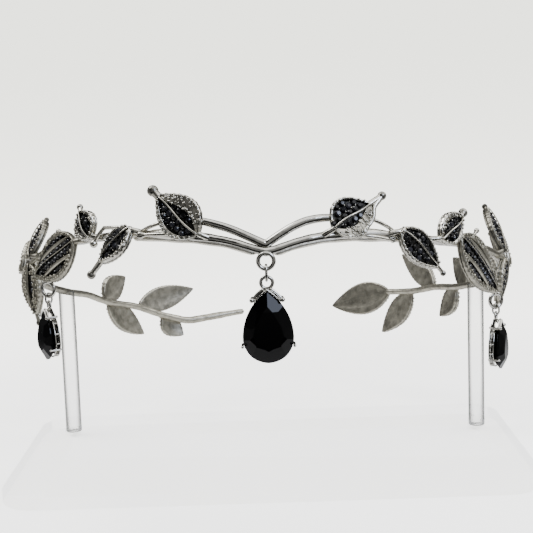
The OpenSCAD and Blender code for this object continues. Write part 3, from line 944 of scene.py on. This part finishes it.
def copies(shape, faces, frames, centres, sizes):
    """One small shape set down many times: each copy's points are its frame's three axes
    times the shape's coordinates and its own size, plus its centre."""
    points = np.einsum("vk,nkc->nvc", shape, frames) * sizes[:, None, None] + centres[:, None]
    shifts = np.arange(len(centres)) * len(shape)
    all_faces = [[v + s for v in face] for s in shifts.tolist() for face in faces]
    return points.reshape(-1, 3), all_faces


def pave_places(leaf):
    """Rows at even steps from the vein on both sides, each shifted half a step from the last,
    that begin and stop a little inside the leaf's ends. A place is kept where the floor is
    wide enough. Gives t and across."""
    t, across = [], []
    for side in (-1, 1):
        for row in range(4):
            if row == leaf.ridge_row:
                continue
            offset = row_offset(row)
            start = ROW_START + (row % 2) * STONE_PITCH / 2
            along = np.arange(start, leaf.length - ROW_STOP, STONE_PITCH) / leaf.length
            fits = leaf.floor_width(along, side) + 0.35 > offset + STONE_R * 0.82
            t.append(along[fits])
            across.append(np.full(fits.sum(), side * offset))
    return np.concatenate(t), np.concatenate(across)


def frames_on(leaf, across, spin, tilt=0.0):
    """Each small piece's own three axes: spun in the floor's plane, which slopes away from
    the vein by the leaf's fold, and tilted out of it along and across the leaf."""
    slope = tilt - np.sign(across) * LEAF_FOLD
    side = unit(leaf.side + slope[:, None] * leaf.face)
    along = unit(leaf.along + np.roll(tilt * np.ones(len(across)), 1)[:, None] * leaf.face)
    face = np.cross(along, side)
    face = np.where((face @ leaf.face)[:, None] < 0, -face, face)
    c, s = np.cos(spin)[:, None], np.sin(spin)[:, None]
    first = c * side + s * along
    return np.stack([first, np.cross(face, first), face], axis=1)


def make_pave(leaf, rng):
    """The leaf's crystals as one skin, and each one's tone."""
    t, across = pave_places(leaf)
    shape, faces = button()
    count = len(t)
    sizes = STONE_R * rng.uniform(0.93, 1.04, count)
    centres = leaf.point(t, across, STONE_UP + rng.uniform(-0.05, 0.05, count))
    spin, tilt = rng.uniform(0, np.pi, count), rng.uniform(-STONE_TILT, STONE_TILT, count)
    points, all_faces = copies(shape, faces, frames_on(leaf, across, spin, tilt), centres, sizes)
    tone = np.repeat(rng.uniform(0, 1, count) ** 3, len(shape))
    return (in_room(points), all_faces), tone, count


print("crystals on the first leaf:", len(pave_places(leaves[0])[0]))


# %% Grains between the crystals and beads on the rims
MARGIN_GRAINS_PER_MM2 = 1.5
FLOOR_GRAIN_SHARE = 0.65


def margin_grains(leaf, rng, side):
    """Grains strewn over a wide margin: random places between the rim and the crystals."""
    count = int(leaf.margin[side] * leaf.length * MARGIN_GRAINS_PER_MM2)
    t = rng.uniform(0.14, 0.88, count)
    inner, outer = leaf.floor_width(t, side), leaf.half_width(t) - 0.6
    return t, side * (inner + rng.uniform(0, 1, count) * (outer - inner))


# Grain table: least radius, greatest radius, height over the floor
FLOOR_GRAIN = (0.17, 0.26, 0.6)
RIM_BEAD = (0.3, 0.46, RIM_H - 0.1)
MARGIN_GRAIN = (0.24, 0.4, 0.98)
BEAD_PITCH = 1.05
print("greatest grain radii (mm):", FLOOR_GRAIN[1], RIM_BEAD[1], MARGIN_GRAIN[1])


def make_grains(leaf, rng):
    """Silver grains: one beside most crystals, where four of them meet, a row of larger beads
    along both rims, and grains all over a wide margin."""
    t, across = pave_places(leaf)
    floor_t = t + STONE_PITCH / 2 / leaf.length
    floor_across = across + np.sign(across) * STONE_PITCH * 0.47
    fits = np.abs(floor_across) < leaf.floor_width(np.clip(floor_t, 0, 1)) + 0.25
    fits &= (floor_t < 0.97) & (rng.uniform(0, 1, len(t)) < FLOOR_GRAIN_SHARE)
    rim_t = np.arange(0.06, 0.96, BEAD_PITCH / leaf.length)
    rim_across = leaf.half_width(rim_t) - 0.45 * RIM_W
    groups = [
        (floor_t[fits], floor_across[fits], FLOOR_GRAIN),
        (rim_t, rim_across, RIM_BEAD),
        (rim_t, -rim_across, RIM_BEAD),
        (*margin_grains(leaf, rng, -1), MARGIN_GRAIN),
        (*margin_grains(leaf, rng, 1), MARGIN_GRAIN),
    ]
    t, across = (np.concatenate([group[k] for group in groups]) for k in (0, 1))
    least, most, up = np.concatenate([np.tile(kind, (len(ts), 1)) for ts, _, kind in groups]).T
    t = t + rng.uniform(-0.15, 0.15, len(t)) / leaf.length
    shape, faces = grain_shape()
    frames = frames_on(leaf, across, rng.uniform(0, np.pi, len(t)))
    sizes = rng.uniform(least, most)
    points, all_faces = copies(shape, faces, frames, leaf.point(t, across, up), sizes)
    return in_room(points), all_faces


# %% Pave the leaves
rng = np.random.default_rng(7)
total = 0
for leaf in leaves:
    skin, tone, count = make_pave(leaf, rng)
    total += count
    add_piece(
        f"crystals_{leaf.name}", skin, black_pave, BAND_BODY,
        [f"pave_{leaf.name}"], smooth=False, values={"tone": tone},
    )
    add_piece(f"grains_{leaf.name}", make_grains(leaf, rng), leaf.silver, BAND_BODY)
print("small crystals:", total)

# %% [markdown]
# ## Twigs
#
# Short wires and balls bridge the leaves and the rail, as on a casting grown from wax twigs.
# Each is swept like the rails, from one row of a table. Its ends run into the thicker metal,
# so no joint needs modelling.

# %% Twig table: angle, height, out of both ends, radius, ball on the second end
TWIGS = [
    (-20.4, 7.2, 1.6, -25, 5.6, 0.6, 0.5, 0),
    (-17.5, 4, 0.9, -24.4, 4.4, 2.0, 0.5, 1.1),
    (21.2, 7.4, 1.6, 25.5, 5.4, 0.6, 0.5, 0),
    (19, 3.4, 0.9, 25.5, 2.6, 0.8, 0.5, 0.7),
    (-27, 6.8, 1.2, -33.8, 7.9, 1.0, 0.5, 0.55),
    (-33.8, 7.9, 1.0, -36, 3.8, 1.8, 0.5, 1.1),
    (30, 4.4, 0.8, 34, 2.4, 1.8, 0.5, 1.0),
    (-45, 6, 0.8, -48, 9.6, 1.4, 0.5, 0.8),
    (46, 5, 0.8, 50, 9, 1.4, 0.5, 0.8),
]
TWIG_BOW = 0.4


def make_twig(row):
    """A wire between two addresses that bows outwards, with a ball on its end if it has one."""
    s = np.linspace(0, 1, 24)
    angle, height, out = (first + (last - first) * s for first, last in zip(row[:3], row[3:6]))
    radius, ball = row[6:]
    path = wall_place(angle, height, out + TWIG_BOW * np.sin(np.pi * s))
    radii = np.full(len(s), radius)
    if ball:
        length = float(np.linalg.norm(path[-1] - path[0]))
        beyond = np.linspace(0.1, 1, 6) * ball
        path = np.concatenate([path, path[-1] + unit(path[-1] - path[-2]) * beyond[:, None]])
        radii = np.maximum(ball_radii(s * length - length, ball), radius)
        radii = np.concatenate([radii, ball_radii(beyond, ball)])
    return sweep(path, radii, wall_out(row[0]), 10)


twigs = moved(joined([make_twig(row) for row in TWIGS]), in_room)
add_piece("twigs", twigs, silver, BAND_BODY)
print("twigs:", len(TWIGS))

# %% [markdown]
# ## The drops
#
# A drop hangs in three steps: a ring soldered to the band, an oval link, and the bail on the
# stone's setting. The rings are alike, and what hangs in the side ones is three quarters as
# big. All is worked out once, from the lowest point of the ring's hole, then scaled, turned
# about the vertical and moved to the frame's joints.

# %% Chain sizes
RING_R, RING_WIRE = 2.0, 0.55
LINK_R, LINK_WIRE, LINK_STRAIGHT = 1.4, 0.36, 1.14
BAIL_R, BAIL_WIRE = 1.5, 0.45
WIRE_GAP = 0.1
LINK_TOP = WIRE_GAP + LINK_WIRE
LINK_LOW = LINK_TOP - 2 * LINK_R - LINK_STRAIGHT
BAIL_Z = LINK_LOW + LINK_WIRE + WIRE_GAP + BAIL_WIRE - BAIL_R
APEX_Z = BAIL_Z - BAIL_R - BAIL_WIRE + 0.1
DROPS = {
    "front": {"scale": 1.0, "ring": 0, "link": 90, "stone": 0},
    "left": {"scale": 0.75, "ring": -25, "link": 46, "stone": -62},
    "right": {"scale": 0.75, "ring": 25, "link": -44, "stone": 68},
}
print("heights against the ring's hole (mm): bail", round(BAIL_Z, 2), "point", round(APEX_Z, 2))


# %% Rings and links
def turned(points, degrees):
    """Points turned about the vertical."""
    a = np.radians(degrees)
    spin = np.array([[np.cos(a), -np.sin(a), 0], [np.sin(a), np.cos(a), 0], [0, 0, 1]])
    return points @ spin.T


def hang(skin, drop, turn):
    """Scales a skin to its drop, turns it and hangs it in the hole of its ring."""
    size = DROPS[drop]
    hole = joint_at[f"{drop}_link_swing"] + np.array([0, 0, RING_WIRE])
    return turned(skin[0] * size["scale"], size[turn]) + hole, skin[1]


def ring_path(radius, low, straight=0.0):
    """A circle in the XZ plane with its lowest point at low, pulled apart by a straight run."""
    a = around(64)
    rise = np.where(np.sin(a) > 0, straight, 0.0)
    return np.column_stack([radius * np.cos(a), 0 * a, low + radius + radius * np.sin(a) + rise])


SIDEWAYS = np.array([0.0, 1.0, 0.0])


def make_ring(drop):
    """The soldered ring, a round wire bent to a circle with its lowest point at the joint."""
    points, faces = sweep(ring_path(RING_R, 0.0), RING_WIRE, SIDEWAYS, 14, loop=True)
    return turned(points, DROPS[drop]["ring"]) + joint_at[f"{drop}_link_swing"], faces


def make_link():
    """The oval link."""
    return sweep(ring_path(LINK_R, LINK_LOW, LINK_STRAIGHT), LINK_WIRE, SIDEWAYS, 12, loop=True)


def make_stem(drop, start):
    """A short wire from the band to the top of the soldered ring."""
    end = joint_at[f"{drop}_link_swing"] + np.array([0, 0, 2 * RING_R])
    s = np.linspace(0, 1, 8)[:, None]
    return sweep(start + (end - start) * s, RING_WIRE, SIDEWAYS + 0.1, 10)


by_name = {leaf.name: leaf for leaf in leaves}
stem_tops = {
    "front": in_room(wall_place(0, RAIL_ROWS[19, 1])),
    "left": in_room(by_name["left_4"].point(0.62, 5.4, 0.0)),
    "right": in_room(by_name["right_4"].point(0.96, 0.0, 0.0)),
}
for drop in DROPS:
    ring = joined([make_ring(drop), make_stem(drop, stem_tops[drop])])
    add_piece(f"{drop}_ring", ring, polished, BAND_BODY, ["leaf_band"])
    link = hang(make_link(), drop, "link")
    add_piece(f"{drop}_oval_link", link, polished, f"{drop}_link", [f"{drop}_link"])
print("rings and links:", list(DROPS))

# %% [markdown]
# ## The pear outline
#
# A pear is a round bottom and two long arcs that meet in a point. In polar form about the
# middle of the round bottom, the lower half has one radius, and the upper half follows the
# arc's circle, so one formula gives the outline in any direction.

# %% Pear outline
STONE_W, STONE_L, STONE_T = 13.0, 18.5, 5.4
ROUND_R = STONE_W / 2
PEAR_D = STONE_L - ROUND_R
FLANK_R = (PEAR_D ** 2 + ROUND_R ** 2) / (2 * ROUND_R)
FLANK_C = FLANK_R - ROUND_R


def pear_radius(beta):
    """Distance from the middle of the round bottom to the outline, at an angle from the point:
    the round radius below, and above it the far root of the flank circle's equation."""
    beta = np.abs((np.asarray(beta) + np.pi) % (2 * np.pi) - np.pi)
    s = FLANK_C * np.sin(np.minimum(beta, np.pi / 2))
    flank = -s + np.sqrt(s ** 2 + FLANK_R ** 2 - FLANK_C ** 2)
    return np.where(beta < np.pi / 2, flank, ROUND_R)


def pear_xy(beta, scale=1.0):
    """The outline in the stone's flat frame: x right, y up, the point at the origin."""
    r = pear_radius(beta) * scale
    return np.stack([r * np.sin(beta), r * np.cos(beta) - PEAR_D], -1)


GIRDLE_FORWARD = 2.2


def stood_up(points):
    """Flat frame to hanging frame: the face turns to the front, the girdle stands a little
    before the bail's plane, and the point goes to its place under the bail."""
    x, y, z = points[..., 0], points[..., 1], points[..., 2]
    return np.stack([x, -z - GIRDLE_FORWARD, y + APEX_Z], -1)


print("radius of the pear's long arcs (mm):", round(FLANK_R, 2))

# %% [markdown]
# ## The faceted pear
#
# The crown has one five-sided facet for each stretch of the girdle, and a triangle between
# each two of them that runs up to the table. A facet looks right only if it is flat. So each
# large facet is a plane through two girdle points and one table point, and the corner that
# two such facets share is found on the line where their planes cross.

# %% Crown and girdle of the pear
GIRDLE_T = 0.5
CROWN_H = 1.9
PAVILION_T = STONE_T - CROWN_H - GIRDLE_T
GIRDLE_DEGREES = np.array([0, 26, 62, 94, 137, 180, 223, 266, 298, 334])
TABLE_DEGREES = np.array([9.9, 47, 80, 116, 158, 202, 244, 280, 313, 350.1])
TABLE_REACH = np.array([0.655, 0.6, 0.6, 0.55, 0.434, 0.434, 0.55, 0.6, 0.6, 0.655])
CORNER_RISE = np.array([0.95, 0.63, 0.66, 0.7, 0.95, 0.95, 0.95, 0.7, 0.66, 0.63])
BETWEEN = 5


def crown_corners():
    """Girdle points, table points and the shared corners, which lie at a set part of the
    crown's height on the line where neighbouring facets cross."""
    girdle = at_level(pear_xy(np.radians(GIRDLE_DEGREES)), 0.0)
    table = at_level(pear_xy(np.radians(TABLE_DEGREES), TABLE_REACH), CROWN_H)
    normals = np.cross(np.roll(girdle, -1, axis=0) - girdle, table - girdle)
    crossing = np.cross(np.roll(normals, 1, axis=0), normals)
    corners = girdle + crossing * (CORNER_RISE * CROWN_H / crossing[:, 2])[:, None]
    return girdle, table, corners, normals


def girdle_curve(girdle, normals):
    """Points on the true outline between the girdle points, each lowered onto the plane of
    the facet above it, so that the girdle's edge waves as on a cut stone."""
    after = np.roll(GIRDLE_DEGREES, -1) + np.where(np.roll(GIRDLE_DEGREES, -1) == 0, 360, 0)
    parts = np.arange(BETWEEN) / BETWEEN
    at = np.radians(GIRDLE_DEGREES[:, None] + (after - GIRDLE_DEGREES)[:, None] * parts)
    xy = pear_xy(at)
    gap = xy - girdle[:, None, :2]
    fall = -np.sum(gap * normals[:, None, :2], axis=-1) / normals[:, None, 2]
    return np.concatenate([xy, fall[..., None]], axis=-1)


print("shared corners of the crown:", len(crown_corners()[2]))


# %% The whole pear
BACK_SIZE = 0.5


def make_pear():
    """Table, corner triangles and five-sided facets, then the girdle and the flat-sided back."""
    girdle, table, corners, normals = crown_corners()
    curve = girdle_curve(girdle, normals)
    sectors = len(girdle)
    rim = curve.reshape(-1, 3)
    low_rim = at_level(rim[:, :2], -GIRDLE_T)
    back = at_level(pear_xy(np.radians(GIRDLE_DEGREES), BACK_SIZE), -GIRDLE_T - PAVILION_T)
    points = np.concatenate([table, corners, rim, low_rim, back])
    corner_0, rim_0 = sectors, 2 * sectors
    low_0 = rim_0 + len(rim)
    back_0 = low_0 + len(rim)
    faces = [list(range(sectors))[::-1]]
    for k in range(sectors):
        after = (k + 1) % sectors
        edge = [rim_0 + (k * BETWEEN + m) % len(rim) for m in range(BETWEEN + 1)]
        faces.append([corner_0 + k, k, corner_0 + after] + edge[::-1])
        faces.append([corner_0 + k, k - 1 if k else sectors - 1, k][::-1])
        low = [low_0 + (k * BETWEEN + m) % len(rim) for m in range(BETWEEN + 1)]
        faces += [[edge[m], edge[m + 1], low[m + 1], low[m]] for m in range(BETWEEN)]
        faces.append(low + [back_0 + after, back_0 + k])
    faces.append([back_0 + k for k in range(sectors)])
    return points, [face[::-1] for face in faces]


print("faces of the pear:", len(make_pear()[1]))

# %% [markdown]
# ## The setting
#
# The setting is an open basket: a plate behind the stone, a gallery wire halfway up, and
# struts between them, so that light and a glimpse of the stone show from the side. A collar
# hugs the stone's point under the bail, and four claws hold its edge. The plate and the wire
# both follow the pear outline at a smaller size.

# %% Basket
BACK_LEVEL = -GIRDLE_T - PAVILION_T - 0.1
GALLERY_LEVEL = -2.2
GALLERY_SIZE, GALLERY_WIRE = 0.875, 0.27
STRUT_FOOT_SIZE, STRUT_WIRE = 0.85, 0.3
STRUTS = (24, 55, 90, 140, 180, 220, 270, 305, 336)


def round_pear(scale, level):
    """The outline at a size and a level, anticlockwise as seen from the front."""
    return at_level(pear_xy(-around(96), scale), level)


def make_basket():
    """The back plate is a low profile carried up the outline, with a hollow in its face. The
    gallery is a closed wire, and each strut a short wire from the plate to the gallery."""
    profile = [
        (0.05, -0.6), (0.8, -0.6), (0.87, -0.5), (0.9, -0.3),
        (0.87, -0.08), (0.8, 0.0), (0.72, -0.12), (0.05, -0.12),
    ]
    plate = loft(np.stack([round_pear(scale, BACK_LEVEL + level) for scale, level in profile]))
    path = round_pear(GALLERY_SIZE, GALLERY_LEVEL)
    gallery = sweep(path, GALLERY_WIRE, (0, 0, 1), 8, loop=True)
    beta = np.radians(STRUTS)
    foot = at_level(pear_xy(beta, STRUT_FOOT_SIZE), BACK_LEVEL - 0.3)
    head = at_level(pear_xy(beta, GALLERY_SIZE), GALLERY_LEVEL)
    paths = [np.stack([a, (a + b) / 2, b]) for a, b in zip(foot, head)]
    return joined([plate, gallery] + [sweep(path, STRUT_WIRE, (1, 0.3, 0), 8) for path in paths])


print("faces of the basket:", len(make_basket()[1]))

# %% Collar, claws and arms
COLLAR_DEGREES = 21
CLAW_TOP = 0.3


def make_collar():
    """A thin wall outside the outline near the point, thickest over the point itself."""
    beta = np.radians(np.linspace(-COLLAR_DEGREES, COLLAR_DEGREES, 49))
    x, y = pear_xy(beta).T
    thick = 0.1 + 0.42 * np.cos(beta / np.radians(COLLAR_DEGREES) * np.pi / 2) ** 0.4
    profile = [(0.0, -3.2), (0.0, 0.15), (0.3, 0.36), (0.75, 0.36), (1.0, 0.15), (1.0, -3.2)]
    rows = [np.stack([x, y + 0.1 + share * thick, 0 * x + z], -1) for share, z in profile]
    return loft(np.stack(rows[::-1], axis=1))


def make_claw(x, y, reach, radius, ball):
    """A wire out from the basket, up beside the stone, and a ball on its end beside the edge.
    Near the end its radius is that of the ball."""
    low = BACK_LEVEL - 0.25
    foot = [x - np.sign(x) * reach, y, low]
    stations = [foot] + [[x, y, z] for z in (low, -1.6, 0.1, CLAW_TOP + ball)]
    path = through(stations, steps=41, rounds=6)
    from_centre = path[:, 2] - CLAW_TOP
    sphere = ball_radii(from_centre, ball, 0.03)
    radii = np.where(from_centre > 0, sphere, np.maximum(sphere, radius))
    return sweep(path, radii, (0, 1, 0.1), 12)


def make_arm(side):
    """A flat-looking wire from beside the bail down to the upper claw."""
    path = bow([0.9 * side, 0.4, -0.7], [2.7 * side, -0.5, -0.6], [3.7 * side, -2.2, -0.3], 15)
    return sweep(path, np.linspace(0.46, 0.3, len(path)), (0, 0.1, 1), 10)


# Claw table: across, along, reach of the foot, radius, ball
CLAWS = [(3.9, -2.2, 1.3, 0.36, 0.64), (6.62, -14.1, 1.6, 0.32, 0.4)]
print("claws:", 2 * len(CLAWS))


# %% Whole drops
def make_setting():
    """All of the setting in one hanging frame."""
    flat = [make_basket(), make_collar(), make_arm(1), make_arm(-1)]
    flat += [make_claw(side * x, *row) for side in (-1, 1) for x, *row in CLAWS]
    bail = sweep(ring_path(BAIL_R, BAIL_Z - BAIL_R), BAIL_WIRE, SIDEWAYS, 14, loop=True)
    return joined([moved(joined(flat), stood_up), bail])


for drop in DROPS:
    body = f"{drop}_drop"
    pear = hang(moved(make_pear(), stood_up), drop, "stone")
    add_piece(
        f"{drop}_pear", pear, black_crystal, body, [f"{drop}_stone"], smooth=False,
        values={"tone": np.zeros(len(pear[0]))},
    )
    setting = hang(make_setting(), drop, "stone")
    add_piece(f"{drop}_claw_setting", setting, polished, body, [f"{drop}_setting"])
print("pears and settings:", list(DROPS))

# %% [markdown]
# ## The stand
#
# The plate is simple and exact in the packed model, so it stays and only takes the acrylic.
# A post there has flat strips for sides, and their edges would show in clear plastic. So each
# is made anew as a smooth round rod with slightly broken edges, in the box of its node.

# %% Plate and posts
plate_materials = frame["nodes"]["stand_base"].data.materials
plate_materials.clear()
plate_materials.append(sheet)
POST_EDGE = 0.25


def make_post(node):
    """A rod up the middle of the node's box, as wide as the box, its radius a little smaller
    at both ends."""
    low, high = (np.array(corner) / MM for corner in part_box(node))
    radius = (high[0] - low[0]) / 2
    z = np.array([low[2], low[2] + POST_EDGE, high[2] - POST_EDGE, high[2]])
    middle = (low + high) / 2
    path = np.column_stack([middle[0] + 0 * z, middle[1] + 0 * z, z])
    radii = radius - POST_EDGE * np.array([1, 0, 0, 1])
    return sweep(path, radii, SIDEWAYS, 40)


for node in ("stand_post_left", "stand_post_right"):
    add_piece(f"clear_{node}", make_post(node), rod, BAND_BODY, [node])
print("plate and posts made")

# %% [markdown]
# ## Room and light
#
# Polished metal shows the room more than itself. The room is a pale tent, brightest at its
# roof. It has a dark opening below the horizon on the viewer's side, and a dim far wall, which
# a wire mirrors only at its very edges. That gives each wire a thin dark outline, a bright top
# and a dark belly. The floor melts into the background: it is clearer the farther out.


# %% Floor
FLOOR_R = 0.32
FADE_FROM, FADE_TO = 0.13, 0.3
FRONT_FROM, FRONT_TO = -0.15, -0.09


def axis_of(way, name):
    """One coordinate of a direction or place."""
    return add_node(way.tree, "SeparateXYZ", {}, {0: way}, name)


def make_floor():
    """A round pale sheet. Its alpha falls with the distance from the middle, and at once in
    front of the view, so that the metal's belly mirrors the dark opening. It glows a little,
    for the camera alone, as a pale cloth in full light does."""
    material, tree = new_material("pale_floor")
    place = add_node(tree, "TexCoord", {}, {}, "Object")
    distance = add_node(tree, "VectorMath", {"operation": "LENGTH"}, {0: place}, "Value")
    fade = smooth_step(distance, FADE_FROM, FADE_TO, 1.0, 0.0)
    seen = add_node(tree, "LightPath", {}, {}, "Is Camera Ray")
    finish_material(tree, {
        "Base Color": (0.9, 0.89, 0.875, 1),
        "Roughness": 0.6 + 0.1 * noise(tree, 5, 2),
        "Specular IOR Level": 0.1,
        "Emission Color": add_node(tree, "CombineXYZ", {}, {0: seen, 1: seen, 2: 0.97 * seen}),
        "Emission Strength": 1.8,
        "Alpha": fade * smooth_step(axis_of(place, "Y"), FRONT_FROM, FRONT_TO),
    })
    angle = around(64)
    rim = FLOOR_R * np.stack([np.cos(angle), np.sin(angle), 0 * angle], -1)
    add_object("floor", rim, [list(range(len(rim)))], material)


make_floor()
print("floor radius (m):", FLOOR_R)


# %% Lights
def add_light(name, place, target, size, power, colour):
    """A square softbox that faces its target."""
    data = bpy.data.lights.new(name, "AREA")
    data.shape = "SQUARE"
    data.size = size
    data.energy = power
    data.color = colour
    light = in_scene(name, data)
    back = unit(np.array(place, dtype=float) - np.array(target, dtype=float))
    right = unit(np.cross([0, 0, 1], back))
    set_matrix(light, right, np.cross(back, right), back, place)


# Light table: place, target, size, power in watts, colour; all lengths in metres
LIGHTS = {
    "key": ((-0.45, 0.1, 0.8), (0, 0, 0.06), 0.5, 6, (1, 1, 1)),
    "fill": ((0.6, 0.15, 0.6), (0, 0, 0.06), 0.5, 3, (1, 1, 1)),
    "window": ((0.35, -0.435, 0.405), (0, -0.09, 0.06), 0.25, 2.0, (0.82, 0.92, 1.16)),
}
for name, row in LIGHTS.items():
    add_light(name, *row)
print("lights:", list(LIGHTS))

# %% Room
DARK_CORNER = (-0.585, -0.575, 0.574)
BACKDROP_LOW = (4.4, 4.35, 4.2, 1)
BACKDROP_HIGH = (2.75, 2.77, 2.5, 1)


def mixed(factor, first, second):
    """The first colour where the factor is 0, the second where it is 1."""
    settings = {"data_type": "RGBA"}
    return add_node(factor.tree, "Mix", settings, {0: factor, 6: first, 7: second}, 2)


def make_room():
    """The light from each direction, built up from smooth steps of its height, its depth and
    how nearly it points at one corner. The camera itself sees a plain backdrop."""
    world = bpy.data.worlds.new("room")
    bpy.context.scene.world = world
    world.use_nodes = True
    tree = world.node_tree
    tree.nodes.clear()
    way = add_node(tree, "TexCoord", {}, {}, "Generated")
    y, z = axis_of(way, "Y"), axis_of(way, "Z")
    opening = smooth_step(y, -0.1, -0.45) * smooth_step(z, -0.1, -0.24)
    far_wall = smooth_step(y, 0.28, 0.5) * smooth_step(z, 0.94, 0.78)
    to_corner = add_node(
        tree, "VectorMath", {"operation": "DOT_PRODUCT"}, {0: way, 1: DARK_CORNER}, "Value"
    )
    level = 0.36 + 0.3 * smooth_step(y, -0.4, 0.4) + 1.8 * smooth_step(z, 0.5, 0.95)
    level = level * (1.0 - 0.97 * opening) * (1.0 - 0.93 * far_wall)
    level = level * (1.0 - 0.95 * smooth_step(to_corner, 0.8, 0.9))
    tent = add_node(tree, "CombineXYZ", {}, {0: level, 1: level, 2: level})
    backdrop = mixed(smooth_step(z, -0.3, 0.05), BACKDROP_LOW, BACKDROP_HIGH)
    seen = add_node(tree, "LightPath", {}, {}, "Is Camera Ray")
    background = add_node(
        tree, "Background", {}, {"Color": mixed(seen, tent, backdrop), "Strength": 1.0}
    )
    add_node(tree, "OutputWorld", {}, {"Surface": background}, None)


make_room()
print("made", bpy.context.scene.world.name)
